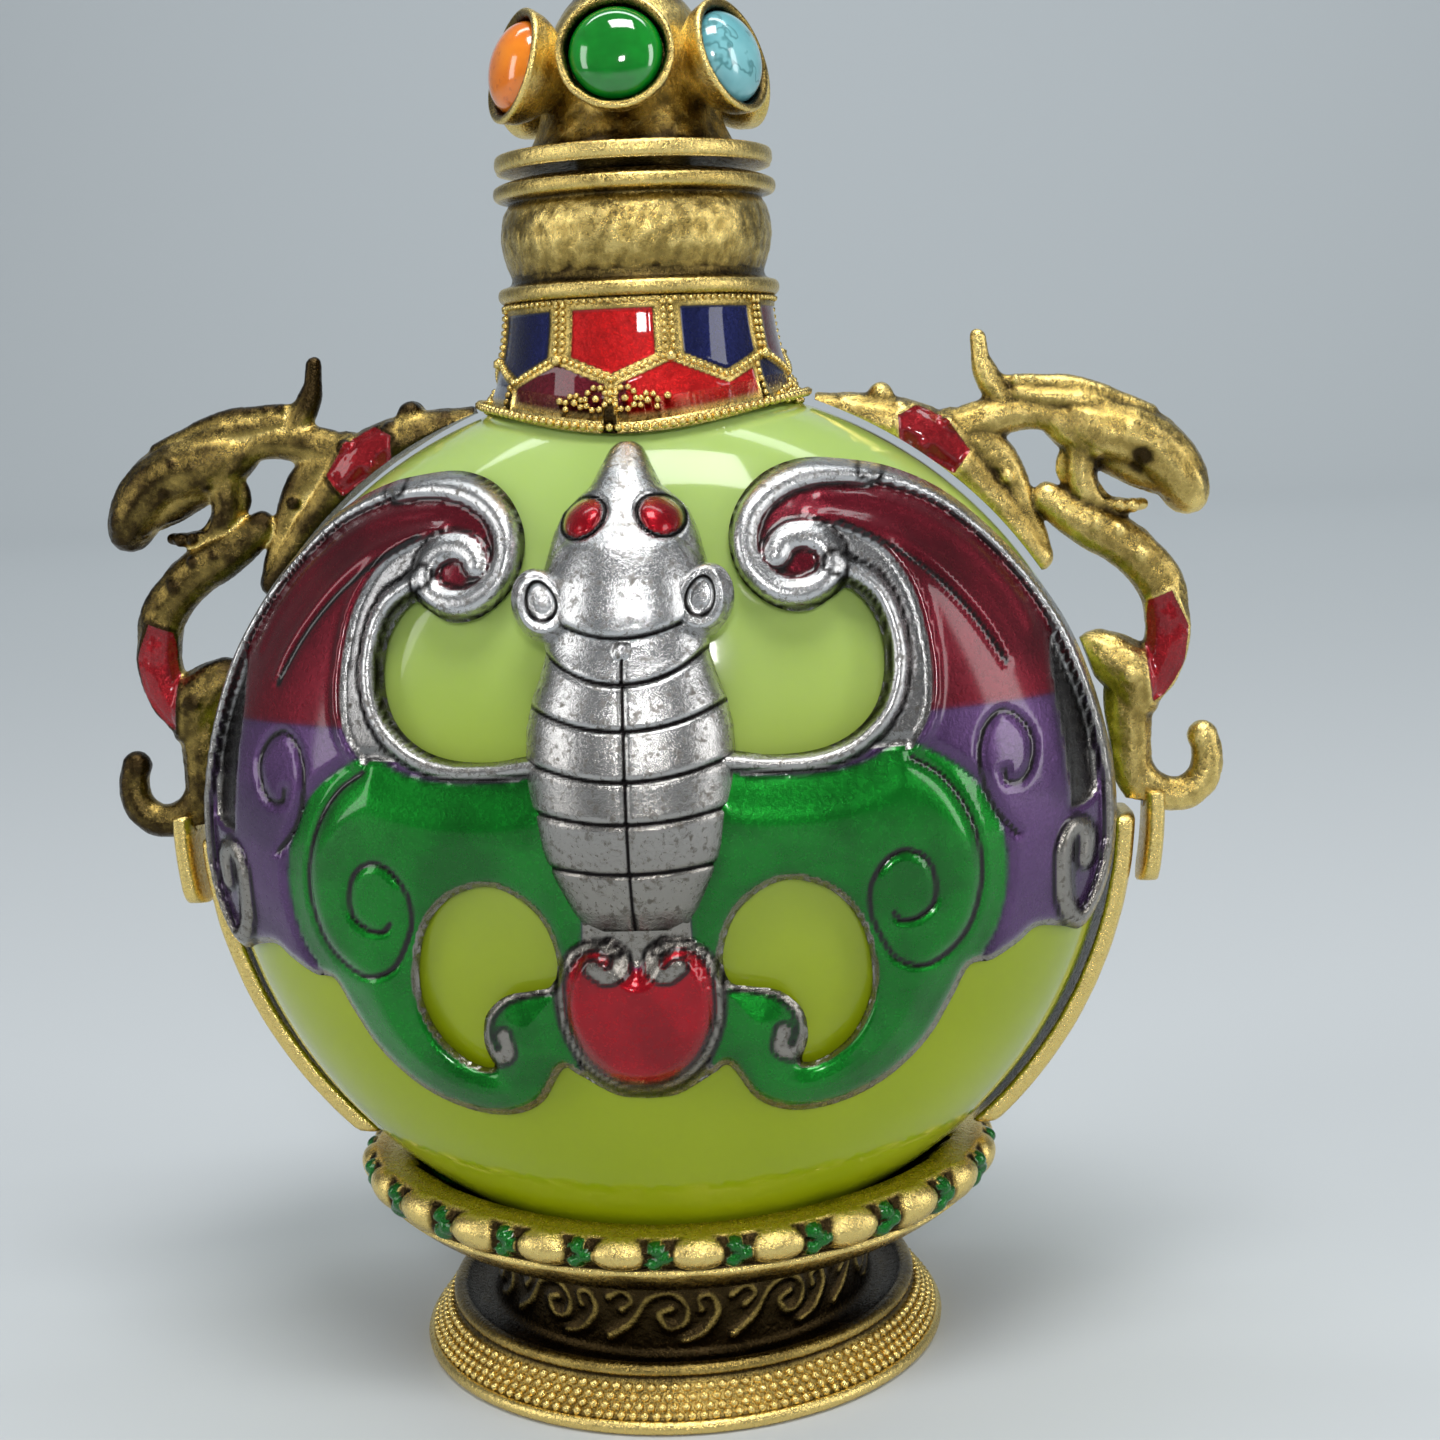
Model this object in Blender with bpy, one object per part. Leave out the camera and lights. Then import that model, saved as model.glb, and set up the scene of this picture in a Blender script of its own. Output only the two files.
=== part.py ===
"""Flattened glass snuff bottle in an antiqued brass mount, with dragon handles and bat appliques.

Metres, +Z up. The origin is under the middle of the foot, the front looks along -Y, and the two
dragons sit at +X and -X. The belly of the bottle is a squashed ellipsoid, and everything that lies
on the glass takes its place from it.
"""
import math

import bmesh
import bpy
from mathutils import Matrix, Vector

MM = 0.001
SHARP_EDGE_ANGLE = math.radians(40.0)

# The clearance between any two pieces that touch
FIT_GAP = 0.3 * MM

# Glass bottle
BELLY_HALF_WIDTH = 23.3 * MM
BELLY_HALF_DEPTH = 13.8 * MM
BELLY_RISE = 22.4 * MM
BELLY_END_ANGLE = math.radians(15.4)
FULLNESS_ABOVE = 0.70
FULLNESS_BELOW = 0.55
GLASS_WALL = 2.5 * MM
GLASS_NECK_RADIUS = 4.9 * MM
GLASS_NECK_LENGTH = 10.7 * MM
BORE_RADIUS = 3.2 * MM
CAVITY_FLOOR_ANGLE = math.radians(10.0)
LIP_CHAMFER = 0.4 * MM
GLASS_SEGMENTS = 28
GLASS_ROWS = 11
CAVITY_ROWS = 7

# Foot, a turned pedestal with an oval cup. Its round parts are inset from its rim, which is a
# little wider than the glass is deep.
FOOT_OVERHANG = 0.2 * MM
FOOT_RADIUS = BELLY_HALF_DEPTH + FOOT_OVERHANG
FOOT_RIM_HEIGHT = 1.2 * MM
FOOT_EDGE = 0.35 * MM
RECESS_RADIUS = FOOT_RADIUS - 3.0 * MM
RECESS_DEPTH = 1.0 * MM
INNER_RING_RADIUS = FOOT_RADIUS - 1.6 * MM
INNER_RING_HEIGHT = 2.9 * MM
INNER_RING_WIDTH = 0.7 * MM
DISH_DEPTH = 0.5 * MM
WAIST_RADIUS = FOOT_RADIUS - 3.8 * MM
WAIST_HOLLOW = 0.25 * MM
CUP_UNDERSIDE_HEIGHT = 6.1 * MM
CUP_FLOOR_HEIGHT = 6.3 * MM
CUP_RIM_HEIGHT = 9.4 * MM
CUP_RIM_THICKNESS = 1.9 * MM
CUP_RIM_SADDLE = 1.5 * MM
CUP_LIP = 2.0 * MM
RIM_BOSS_COUNT = 24
RIM_BOSS_DEPTH = 0.3 * MM
CUP_ROWS = 2

# Brass neck mount with its flared collar, whose foot reaches past the flat end of the belly
COLLAR_OVERHANG = 2.2 * MM
COLLAR_FOOT_RADIUS = BELLY_HALF_WIDTH * math.sin(BELLY_END_ANGLE) + COLLAR_OVERHANG
COLLAR_TOP_RADIUS = 6.8 * MM
COLLAR_HEIGHT = 4.9 * MM
COLLAR_SKIRT_DROP = 0.5 * MM
COLLAR_CURVE = (0.45, 0.25)
NECK_PINCH_RADIUS = 6.35 * MM
NECK_BULGE_RADIUS = 6.8 * MM
NECK_RING_RADIUS = 7.15 * MM
NECK_RING_THICKNESS = 0.9 * MM
NECK_RIM_DROP = 0.5 * MM
NECK_EDGE = 0.2 * MM
NECK_SEGMENTS = 22

# Side bands
BAND_WIDTH = 4.0 * MM
BAND_THICKNESS = 1.1 * MM
BAND_TOP_RISE = 21.4 * MM
BAND_STEPS = 10

# Bats
BAT_THICKNESS = 1.1 * MM
BAT_EDGE_DEPTH = 2.7 * MM
BAT_REACH = 25.0 * MM
HEART_RELIEF = 0.7 * MM
BAT_BODY_SEGMENTS = 10

# Dragons
DRAGON_VOXEL = 0.34 * MM
DRAGON_SMOOTHING = 3
DRAGON_CURVE_STEPS = 4
DRAGON_FACE_SHARE = 0.038
TONGUE_LENGTH = 5.2 * MM
TONGUE_HALF_WIDTH = 1.7 * MM

# Cap with its ring of six stones
CAP_FLANGE_RADIUS = 7.0 * MM
CAP_FLANGE_THICKNESS = 0.9 * MM
CAP_CORE_RADIUS = 4.1 * MM
CAP_CORE_FLARE = 0.4 * MM
CAP_STEM_RADIUS = 2.2 * MM
CAP_KNOB_RADIUS = 3.1 * MM
CAP_STEM_HEIGHT = 9.0 * MM
CAP_KNOB_HEIGHT = 5.4 * MM
KNOB_PROFILE = [(1.0, 0.3), (1.0, 0.5), (0.55, 0.82), (0.15, 1.0)]
SPIGOT_LENGTH = 3.0 * MM
CAP_SEGMENTS = 16
STONE_COUNT = 6
STONE_RADIUS = 2.25 * MM
STONE_DOME = 0.9 * MM
DOME_PROFILE = [(0.86, 0.45), (0.4, 1.0)]
STONE_TILT = math.radians(15.0)
STONE_RING_HEIGHT = 3.3 * MM
BEZEL_REACH = 6.5 * MM
BEZEL_LENGTH = 3.1 * MM
BEZEL_WALL = 0.3 * MM
BEZEL_PROFILE = [(0.5, 0.0), (0.8, 0.5), (1.0, 0.68), (1.0, 1.0)]
BEZEL_RECESS = 0.85 * MM
BEZEL_SEGMENTS = 10

# Heights that follow from the sizes above
BELLY_HEIGHT = CUP_FLOOR_HEIGHT + FIT_GAP + BELLY_RISE * math.cos(BELLY_END_ANGLE)
SHOULDER_HEIGHT = BELLY_HEIGHT + BELLY_RISE * math.cos(BELLY_END_ANGLE)
LIP_HEIGHT = SHOULDER_HEIGHT + GLASS_NECK_LENGTH
NECK_TOP_HEIGHT = LIP_HEIGHT + FIT_GAP
FLANGE_HEIGHT = NECK_TOP_HEIGHT + FIT_GAP
BAND_FOOT_HEIGHT = CUP_RIM_HEIGHT + CUP_RIM_SADDLE + FIT_GAP
BAND_TOP_HEIGHT = CUP_FLOOR_HEIGHT + BAND_TOP_RISE

# The right half of the bat's outline, in hundredths of the belly's half width and rise from its middle
BAT_OUTLINE = [
    (0, 88), (5, 85), (6.5, 80.5), (12, 77.5), (15, 72), (15, 67), (18.5, 65), (21.5, 62), (22, 58),
    (20, 52.5), (18, 48.5), (20.5, 43), (21.5, 36), (21, 28.5), (38, 27.5), (48.5, 33.5), (52.5, 43),
    (50.5, 52), (44, 58.5), (39.5, 55.5), (33, 53), (26.5, 56.5), (23, 62), (21.5, 72.5), (25, 80),
    (33, 84), (43, 83.5), (53, 81.5), (64, 75.5), (73.5, 67.5), (83, 56), (90, 43), (95.5, 29),
    (98, 15), (98.5, 0), (96, -14), (90.5, -20), (85, -17.5), (71, -22), (66.5, -22.5), (63, -28),
    (57.5, -37.5), (49.5, -45.5), (40, -50), (30, -51), (22, -47.5), (17.5, -39.5), (15, -35), (9, -41.5),
    (0, -46),
]
BAT_WINDOW = [
    (31.5, 0), (42, -5.5), (46.5, -14), (46.5, -24), (43, -33.5), (37, -39), (31.5, -40), (33, -34),
    (32, -28), (28, -23.5), (19, -22.5), (16.5, -15), (19.5, -6.5), (25, -1.5),
]
HEART_OUTLINE = [
    (0, -14), (6, -11.5), (13, -13), (17, -19), (17, -27), (12, -34.5), (6, -39), (0, -44),
]

# The bat's head and body down its middle, in the same hundredths: height, half width and bulge. Each
# ring of the body steps out from under the one above it.
BAT_HEAD = [
    (87.5, 2.1, 1.7), (84, 4.7, 3.9), (79.5, 6.4, 5.6), (75.5, 12.4, 7.3), (70, 15.5, 9), (62, 17.6, 10.3),
    (55, 16.7, 9.9), (51.5, 14.6, 8.2),
]
BAT_BODY_LEVELS = [50.5, 43, 32.5, 22.5, 12, 0.5, -12]
BAT_BODY_WIDTHS = [18, 20.6, 21.5, 20.6, 18.5, 14.6]
BAT_BODY_BULGE = 9
BAT_RING_STEP = 0.86
BAT_RING_EDGE = 0.12

# Dragon strands: angle up from the belly's widest level in degrees, then distance off the glass and
# radius in hundredths of the belly's half width
DRAGON_STRANDS = {
    "shoulder": [(66, 3.9, 5.7), (63.4, 4.3, 6.1), (59, 5.2, 7.1), (54.2, 5.6, 7.5), (49.6, 6.4, 6.8),
                 (44.6, 6.9, 5.9), (39.4, 6, 5), (35, 4.3, 3.6)],
    "neck": [(50.6, 9.4, 6.1), (50.9, 16.3, 5.2), (49.7, 22.3, 4.8), (47.4, 27.5, 4.8), (44.4, 30.5, 5.9)],
    "head": [(44.4, 30, 6.1), (40.7, 31.8, 7.7), (37.6, 33.9, 8.4), (34.4, 36.5, 6.4), (32, 38.2, 4.8),
             (31, 39.1, 3.6)],
    "jaw": [(40, 24, 5.9), (36.5, 23.2, 4.1), (33.6, 28.8, 2.7), (32, 33.5, 3)],
    "mane": [(51.3, 25.8, 2.3), (48.8, 29.6, 2.5), (46.7, 33.5, 2.5), (44.3, 36.9, 2.3)],
    "horn": [(51.1, 23.2, 3.6), (53.7, 27, 2.7), (55.8, 30.5, 2.3)],
    "coil": [(40.9, 10.3, 5.2), (37.6, 12, 6.1), (34.2, 15.5, 5.9), (30.7, 19.3, 5.9), (26.9, 21.9, 5.9),
             (23.3, 22.3, 5.9), (19.5, 20.2, 5.7), (16.3, 16.3, 5.2), (14.1, 10.3, 4.8)],
    "elbow": [(15, 11.2, 4.3), (18.1, 6.9, 4.8), (20, 3.4, 4.3)],
    "tail": [(13.8, 10.3, 4.8), (10.6, 6.9, 4.3), (7.1, 5.2, 4.3), (3.6, 6.4, 4.1), (2.2, 10.7, 3.9),
             (2.6, 16.7, 3.6), (4.4, 21.5, 3.6), (6.4, 23.2, 3.4), (7.9, 21.9, 3)],
}

FINISHES = {
    "jade_glass": ((0.42, 0.52, 0.10), 0.08, 0.0),
    "antiqued_brass": ((0.46, 0.34, 0.10), 0.35, 1.0),
    "pewter": ((0.50, 0.48, 0.45), 0.38, 1.0),
    "coral_stone": ((0.85, 0.25, 0.05), 0.15, 0.0),
    "green_stone": ((0.01, 0.30, 0.04), 0.10, 0.0),
    "turquoise_stone": ((0.20, 0.62, 0.68), 0.15, 0.0),
}
STONE_FINISHES = ["green_stone", "turquoise_stone", "coral_stone"]


def belly(height, grow=0.0):
    """Half width and half depth at a height of the belly, grown outwards or shrunk."""
    share = (height - BELLY_HEIGHT) / (BELLY_RISE + grow)
    side = math.sqrt(max(0.0, 1.0 - share * share))
    fullness = FULLNESS_ABOVE if share > 0 else FULLNESS_BELOW
    return (BELLY_HALF_WIDTH + grow) * side, (BELLY_HALF_DEPTH + grow) * side ** fullness


def belly_rings(grow, low_angle, high_angle, rows):
    """Rings up the belly, between angles from its bottom and from its top."""
    rings = []
    for row in range(rows + 1):
        angle = low_angle + (math.pi - low_angle - high_angle) * row / rows
        height = BELLY_HEIGHT - (BELLY_RISE + grow) * math.cos(angle)
        rings.append((*belly(height, grow), height))
    return rings


def belly_edge(degrees, off):
    """The place beside the glass at an angle up from the belly's middle and a distance off it."""
    angle = math.radians(degrees)
    across = (BELLY_HALF_WIDTH + off) * math.cos(angle)
    return Vector((across, 0, BELLY_HEIGHT + (BELLY_RISE + off) * math.sin(angle)))


def circle(radius, height):
    """A round ring of a loft."""
    return radius, radius, height


def finish(name):
    """The material of that name, made once."""
    if name in bpy.data.materials:
        return bpy.data.materials[name]
    colour, roughness, metallic = FINISHES[name]
    material = bpy.data.materials.new(name)
    material.use_nodes = True
    shader = material.node_tree.nodes["Principled BSDF"]
    shader.inputs["Base Color"].default_value = (*colour, 1)
    shader.inputs["Roughness"].default_value = roughness
    shader.inputs["Metallic"].default_value = metallic
    return material


def add_object(name, form, material):
    """Turn a bmesh into a named, smooth-shaded object."""
    bmesh.ops.recalc_face_normals(form, faces=form.faces)
    mesh = bpy.data.meshes.new(name)
    form.to_mesh(mesh)
    form.free()
    mesh.shade_smooth()
    mesh.set_sharp_from_angle(angle=SHARP_EDGE_ANGLE)
    mesh.materials.append(finish(material))
    made = bpy.data.objects.new(name, mesh)
    bpy.context.scene.collection.objects.link(made)
    return made


def add_cutter(name, form):
    """Turn a bmesh into a hidden object for a Boolean."""
    cutter = add_object(name, form, "antiqued_brass")
    cutter.hide_render = True
    cutter.display_type = "WIRE"
    return cutter


def combine(target, operation, other):
    """Add a Boolean to an object."""
    modifier = target.modifiers.new(other.name, "BOOLEAN")
    modifier.operation = operation
    modifier.solver = "EXACT"
    modifier.object = other


def loft(rings, segments, waves=None):
    """A closed form through level oval rings (half width, half depth, height).

    waves gives, for the number of a ring, how far it waves in and out as a share of its size.
    """
    form = bmesh.new()
    bmesh.ops.create_circle(form, cap_ends=True, segments=segments, radius=1.0)
    form.verts.ensure_lookup_table()
    rim = list(form.edges)
    fresh = list(form.verts)
    angles = {vert: 2 * math.pi * number / segments for number, vert in enumerate(fresh)}
    for number, (half_x, half_y, height) in enumerate(rings):
        if number:
            before = {vert.co.copy().freeze(): angles[vert] for vert in fresh}
            grown = bmesh.ops.extrude_edge_only(form, edges=rim)["geom"]
            fresh = [item for item in grown if isinstance(item, bmesh.types.BMVert)]
            angles = {vert: before[vert.co.copy().freeze()] for vert in fresh}
            rim = [item for item in grown if isinstance(item, bmesh.types.BMEdge)
                   and item.verts[0] in angles and item.verts[1] in angles]
        wave = waves.get(number, 0.0) if waves else 0.0
        for vert, angle in angles.items():
            swell = 1 + wave * math.cos(angle * RIM_BOSS_COUNT)
            vert.co = (half_x * swell * math.cos(angle), half_y * swell * math.sin(angle), height)
    bmesh.ops.holes_fill(form, edges=rim, sides=0)
    return form


def turned(profile, segments):
    """A ring turned about the Z axis from a closed profile of radius and height."""
    form = bmesh.new()
    points = [form.verts.new((radius, 0, height)) for radius, height in profile]
    edges = [form.edges.new((point, points[number - 1])) for number, point in enumerate(points)]
    bmesh.ops.spin(form, geom=points + edges, cent=(0, 0, 0), axis=(0, 0, 1), angle=2 * math.pi,
                   steps=segments, use_merge=True)
    return form


def plate(outlines, near, far):
    """A flat plate in the XZ plane from closed outlines, the later ones holes, between two depths."""
    form = bmesh.new()
    for outline in outlines:
        points = [form.verts.new((across, near, height)) for across, height in outline]
        for number, point in enumerate(points):
            form.edges.new((points[number - 1], point))
    bmesh.ops.triangle_fill(form, edges=form.edges, use_beauty=True)
    grown = bmesh.ops.extrude_face_region(form, geom=form.faces[:])["geom"]
    moved = [item for item in grown if isinstance(item, bmesh.types.BMVert)]
    bmesh.ops.translate(form, vec=(0, far - near, 0), verts=moved)
    return form


def make_bottle():
    """The hollow glass bottle, with its neck and open bore."""
    outside = belly_rings(0.0, BELLY_END_ANGLE, BELLY_END_ANGLE, GLASS_ROWS)
    neck = [
        circle(GLASS_NECK_RADIUS, SHOULDER_HEIGHT + LIP_CHAMFER / 2),
        circle(GLASS_NECK_RADIUS, LIP_HEIGHT - LIP_CHAMFER),
        circle(GLASS_NECK_RADIUS - LIP_CHAMFER, LIP_HEIGHT),
        circle(BORE_RADIUS, LIP_HEIGHT),
    ]
    side = (BORE_RADIUS / (BELLY_HALF_DEPTH - GLASS_WALL)) ** (1 / FULLNESS_ABOVE)
    inside = belly_rings(-GLASS_WALL, CAVITY_FLOOR_ANGLE, math.asin(side), CAVITY_ROWS)
    bore_foot = circle(BORE_RADIUS, inside[-1][2] + LIP_CHAMFER)
    return add_object("glass_bottle", loft(outside + neck + [bore_foot] + inside[::-1], GLASS_SEGMENTS),
                      "jade_glass")


def lift_ends(form, rim_width):
    """Raise the two ends of the cup's rim up the glass, so that the rim lies like a saddle."""
    for vert in form.verts:
        x, y, height = vert.co
        share = (height - CUP_FLOOR_HEIGHT) / (CUP_RIM_HEIGHT - CUP_FLOOR_HEIGHT)
        if share > 0:
            before = belly(height, FIT_GAP)
            lifted = height + CUP_RIM_SADDLE * share * (x / rim_width) ** 2
            after = belly(lifted, FIT_GAP)
            around = math.atan2(y / before[1], x / before[0])
            vert.co.x += (after[0] - before[0]) * math.cos(around)
            vert.co.y += (after[1] - before[1]) * math.sin(around)
            vert.co.z = lifted


def make_foot():
    """The turned foot and the oval cup that the glass stands in, with its scalloped rim."""
    pedestal = [
        circle(RECESS_RADIUS, RECESS_DEPTH),
        circle(RECESS_RADIUS + FOOT_EDGE, 0.0),
        circle(FOOT_RADIUS - FOOT_EDGE, 0.0),
        circle(FOOT_RADIUS, FOOT_EDGE),
        circle(FOOT_RADIUS, FOOT_RIM_HEIGHT),
        circle(INNER_RING_RADIUS, INNER_RING_HEIGHT - DISH_DEPTH),
        circle(INNER_RING_RADIUS, INNER_RING_HEIGHT),
        circle(INNER_RING_RADIUS - INNER_RING_WIDTH, INNER_RING_HEIGHT),
        circle(WAIST_RADIUS, INNER_RING_HEIGHT - DISH_DEPTH),
        circle(WAIST_RADIUS - WAIST_HOLLOW, (INNER_RING_HEIGHT + CUP_UNDERSIDE_HEIGHT) / 2),
        circle(WAIST_RADIUS, CUP_UNDERSIDE_HEIGHT),
    ]
    inner_width, inner_depth = belly(CUP_RIM_HEIGHT, FIT_GAP)
    rim_width = inner_width + CUP_LIP
    rim_depth = inner_depth + CUP_LIP
    rim_foot = CUP_RIM_HEIGHT - CUP_RIM_THICKNESS
    flare_height = (CUP_UNDERSIDE_HEIGHT + rim_foot) / 2
    cup = [
        ((WAIST_RADIUS + rim_width) / 2, (WAIST_RADIUS + rim_depth) / 2, flare_height),
        (rim_width - FOOT_EDGE, rim_depth - FOOT_EDGE, rim_foot),
        (rim_width, rim_depth, rim_foot + CUP_RIM_THICKNESS / 2),
        (rim_width - FOOT_EDGE, rim_depth - FOOT_EDGE, CUP_RIM_HEIGHT),
    ]
    seat = []
    for row in range(CUP_ROWS + 1):
        height = CUP_RIM_HEIGHT + (CUP_FLOOR_HEIGHT - CUP_RIM_HEIGHT) * row / CUP_ROWS
        seat.append((*belly(height, FIT_GAP), height))
    waved = len(pedestal) + 1
    wave = RIM_BOSS_DEPTH / rim_width
    waves = {waved: wave, waved + 1: wave, waved + 2: wave / 2}
    form = loft(pedestal + cup + seat, 2 * RIM_BOSS_COUNT, waves)
    lift_ends(form, rim_width)
    return add_object("foot", form, "antiqued_brass")


def make_neck_mount(shoulder):
    """The brass neck: a flared collar that sits on the glass, then a pinch, a bulge and a rim."""
    collar_top = SHOULDER_HEIGHT + COLLAR_HEIGHT
    pinch = collar_top + NECK_RING_THICKNESS
    rim = NECK_TOP_HEIGHT - NECK_RIM_DROP
    bulge = (pinch + rim) / 2
    curve_width, curve_height = COLLAR_CURVE
    curve_radius = COLLAR_TOP_RADIUS + (COLLAR_FOOT_RADIUS - COLLAR_TOP_RADIUS) * curve_width
    sunk = SHOULDER_HEIGHT - GLASS_WALL
    bore = GLASS_NECK_RADIUS + FIT_GAP
    profile = [
        (bore, sunk),
        (COLLAR_FOOT_RADIUS, sunk),
        (COLLAR_FOOT_RADIUS, SHOULDER_HEIGHT - COLLAR_SKIRT_DROP),
        (curve_radius, SHOULDER_HEIGHT + COLLAR_HEIGHT * curve_height),
        (COLLAR_TOP_RADIUS, collar_top),
        (NECK_RING_RADIUS, collar_top + NECK_EDGE),
        (NECK_RING_RADIUS, pinch - NECK_EDGE),
        (NECK_PINCH_RADIUS, pinch),
        (NECK_BULGE_RADIUS, (pinch + bulge) / 2),
        (NECK_BULGE_RADIUS, (bulge + rim) / 2),
        (NECK_RING_RADIUS, rim - NECK_EDGE),
        (NECK_RING_RADIUS, rim + NECK_EDGE),
        (NECK_RING_RADIUS - NECK_RIM_DROP, NECK_TOP_HEIGHT),
        (bore, NECK_TOP_HEIGHT),
    ]
    mount = add_object("neck_mount", turned(profile, NECK_SEGMENTS), "antiqued_brass")
    combine(mount, "DIFFERENCE", shoulder)
    return mount


def band_outline(inner, outer, low, high):
    """The outline of a strap beside the glass, between two distances off it and two heights."""
    heights = [low + (high - low) * step / BAND_STEPS for step in range(BAND_STEPS + 1)]
    inside = [(belly(height, inner)[0], height) for height in heights]
    outside = [(belly(height, outer)[0], height) for height in reversed(heights)]
    return inside + outside


def mirrored(outline, side):
    """An outline on the +X side or, mirrored, on the -X side."""
    return [(side * across, height) for across, height in outline]


def make_band(name, side):
    """A brass strap that runs from the cup's rim up the side of the glass."""
    outline = band_outline(FIT_GAP, FIT_GAP + BAND_THICKNESS, BAND_FOOT_HEIGHT, BAND_TOP_HEIGHT)
    form = plate([mirrored(outline, side)], -BAND_WIDTH / 2, BAND_WIDTH / 2)
    return add_object(name, form, "antiqued_brass")


def smooth_path(points):
    """Points along a smooth curve through the given ones, each an angle, a distance and a radius."""
    path = []
    padded = [points[0]] + points + [points[-1]]
    for before, start, end, after in zip(padded, padded[1:], padded[2:], padded[3:]):
        for step in range(DRAGON_CURVE_STEPS):
            share = step / DRAGON_CURVE_STEPS
            path.append([0.5 * (2 * s + (e - b) * share + (2 * b - 5 * s + 4 * e - a) * share ** 2
                                + (3 * s - b - 3 * e + a) * share ** 3)
                         for b, s, e, a in zip(before, start, end, after)])
    return path + [points[-1]]


def make_dragon(name, side, keep_outs):
    """A cast dragon of merged strands: shoulder, arched neck, head, coil, elbow and curled tail."""
    form = bmesh.new()
    share = BELLY_HALF_WIDTH / 100
    for points in DRAGON_STRANDS.values():
        for degrees, off, radius in smooth_path(points):
            place = belly_edge(degrees, off * share)
            place.x *= side
            bmesh.ops.create_icosphere(form, subdivisions=2, radius=radius * share,
                                       matrix=Matrix.Translation(place))
    tongue_top = BAND_TOP_HEIGHT + FIT_GAP + BAND_THICKNESS
    outline = band_outline(2 * FIT_GAP + BAND_THICKNESS, 2 * (FIT_GAP + BAND_THICKNESS),
                           tongue_top - TONGUE_LENGTH, tongue_top)
    tongue = plate([mirrored(outline, side)], -TONGUE_HALF_WIDTH, TONGUE_HALF_WIDTH)
    spare = bpy.data.meshes.new("tongue")
    tongue.to_mesh(spare)
    tongue.free()
    form.from_mesh(spare)
    bpy.data.meshes.remove(spare)
    dragon = add_object(name, form, "antiqued_brass")
    remesh = dragon.modifiers.new("Merge", "REMESH")
    remesh.mode = "VOXEL"
    remesh.voxel_size = DRAGON_VOXEL
    smooth = dragon.modifiers.new("Smooth", "SMOOTH")
    smooth.iterations = DRAGON_SMOOTHING
    thin = dragon.modifiers.new("Thin", "DECIMATE")
    thin.ratio = DRAGON_FACE_SHARE
    for keep_out in keep_outs:
        combine(dragon, "DIFFERENCE", keep_out)
    return dragon


def bat_points(outline):
    """Both halves of a bat outline as places, from its right half in hundredths."""
    right = [(across * BELLY_HALF_WIDTH / 100, BELLY_HEIGHT + up * BELLY_RISE / 100)
             for across, up in outline]
    if outline[0][0] or outline[-1][0]:
        return [right, mirrored(right, -1)]
    return [right + mirrored(right[-2:0:-1], -1)]


def bat_body_rings():
    """Rings up the bat's tail, stepped body and head."""
    rings = []
    levels = zip(BAT_BODY_LEVELS, BAT_BODY_LEVELS[1:], BAT_BODY_WIDTHS)
    for above, below, width in levels:
        step = (above - below) * BAT_RING_EDGE
        rings.append((width * BAT_RING_STEP, BAT_BODY_BULGE * BAT_RING_STEP, above - step))
        rings.append((width, BAT_BODY_BULGE, below + step))
    head = [(width, bulge, level) for level, width, bulge in BAT_HEAD]
    share = BELLY_HALF_WIDTH / 100
    return [(width * share, bulge * share, BELLY_HEIGHT + level * BELLY_RISE / 100)
            for width, bulge, level in (head + rings)[::-1]]


def make_bat(name, facing, inner, outer, heart_outer):
    """A bat cut from a sheet that follows the glass, with a raised heart, body and head."""
    near = facing * BAT_EDGE_DEPTH
    far = facing * BAT_REACH
    bat = add_object(name, plate(bat_points(BAT_OUTLINE) + bat_points(BAT_WINDOW), near, far), "pewter")
    combine(bat, "INTERSECT", outer)
    heart = add_cutter(name + "_heart", plate(bat_points(HEART_OUTLINE), near, far))
    combine(heart, "INTERSECT", heart_outer)
    combine(bat, "UNION", heart)
    body = loft(bat_body_rings(), BAT_BODY_SEGMENTS)
    for vert in body.verts:
        vert.co.y += facing * belly(vert.co.z, FIT_GAP + BAT_THICKNESS)[1]
    combine(bat, "UNION", add_cutter(name + "_body", body))
    combine(bat, "DIFFERENCE", inner)
    return bat


def stone_matrix(number):
    """The frame of one stone: its own +Z looks out and up from the cap's ring of bezels."""
    around = -math.pi / 2 + 2 * math.pi * number / STONE_COUNT
    return (Matrix.Translation((0, 0, FLANGE_HEIGHT + STONE_RING_HEIGHT)) @ Matrix.Rotation(around, 4, "Z")
            @ Matrix.Rotation(math.pi / 2 - STONE_TILT, 4, "Y"))


def make_bezel(number):
    """A goblet-shaped bezel with a recess for its stone."""
    base = BEZEL_REACH - BEZEL_LENGTH
    seat_radius = STONE_RADIUS + FIT_GAP
    lip_radius = seat_radius + BEZEL_WALL
    rings = [circle(lip_radius * across, base + BEZEL_LENGTH * out) for across, out in BEZEL_PROFILE]
    rings += [circle(seat_radius, BEZEL_REACH), circle(seat_radius, BEZEL_REACH - BEZEL_RECESS)]
    form = loft(rings, BEZEL_SEGMENTS)
    bmesh.ops.transform(form, matrix=stone_matrix(number), verts=form.verts)
    return add_cutter("bezel_%d" % number, form)


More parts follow.
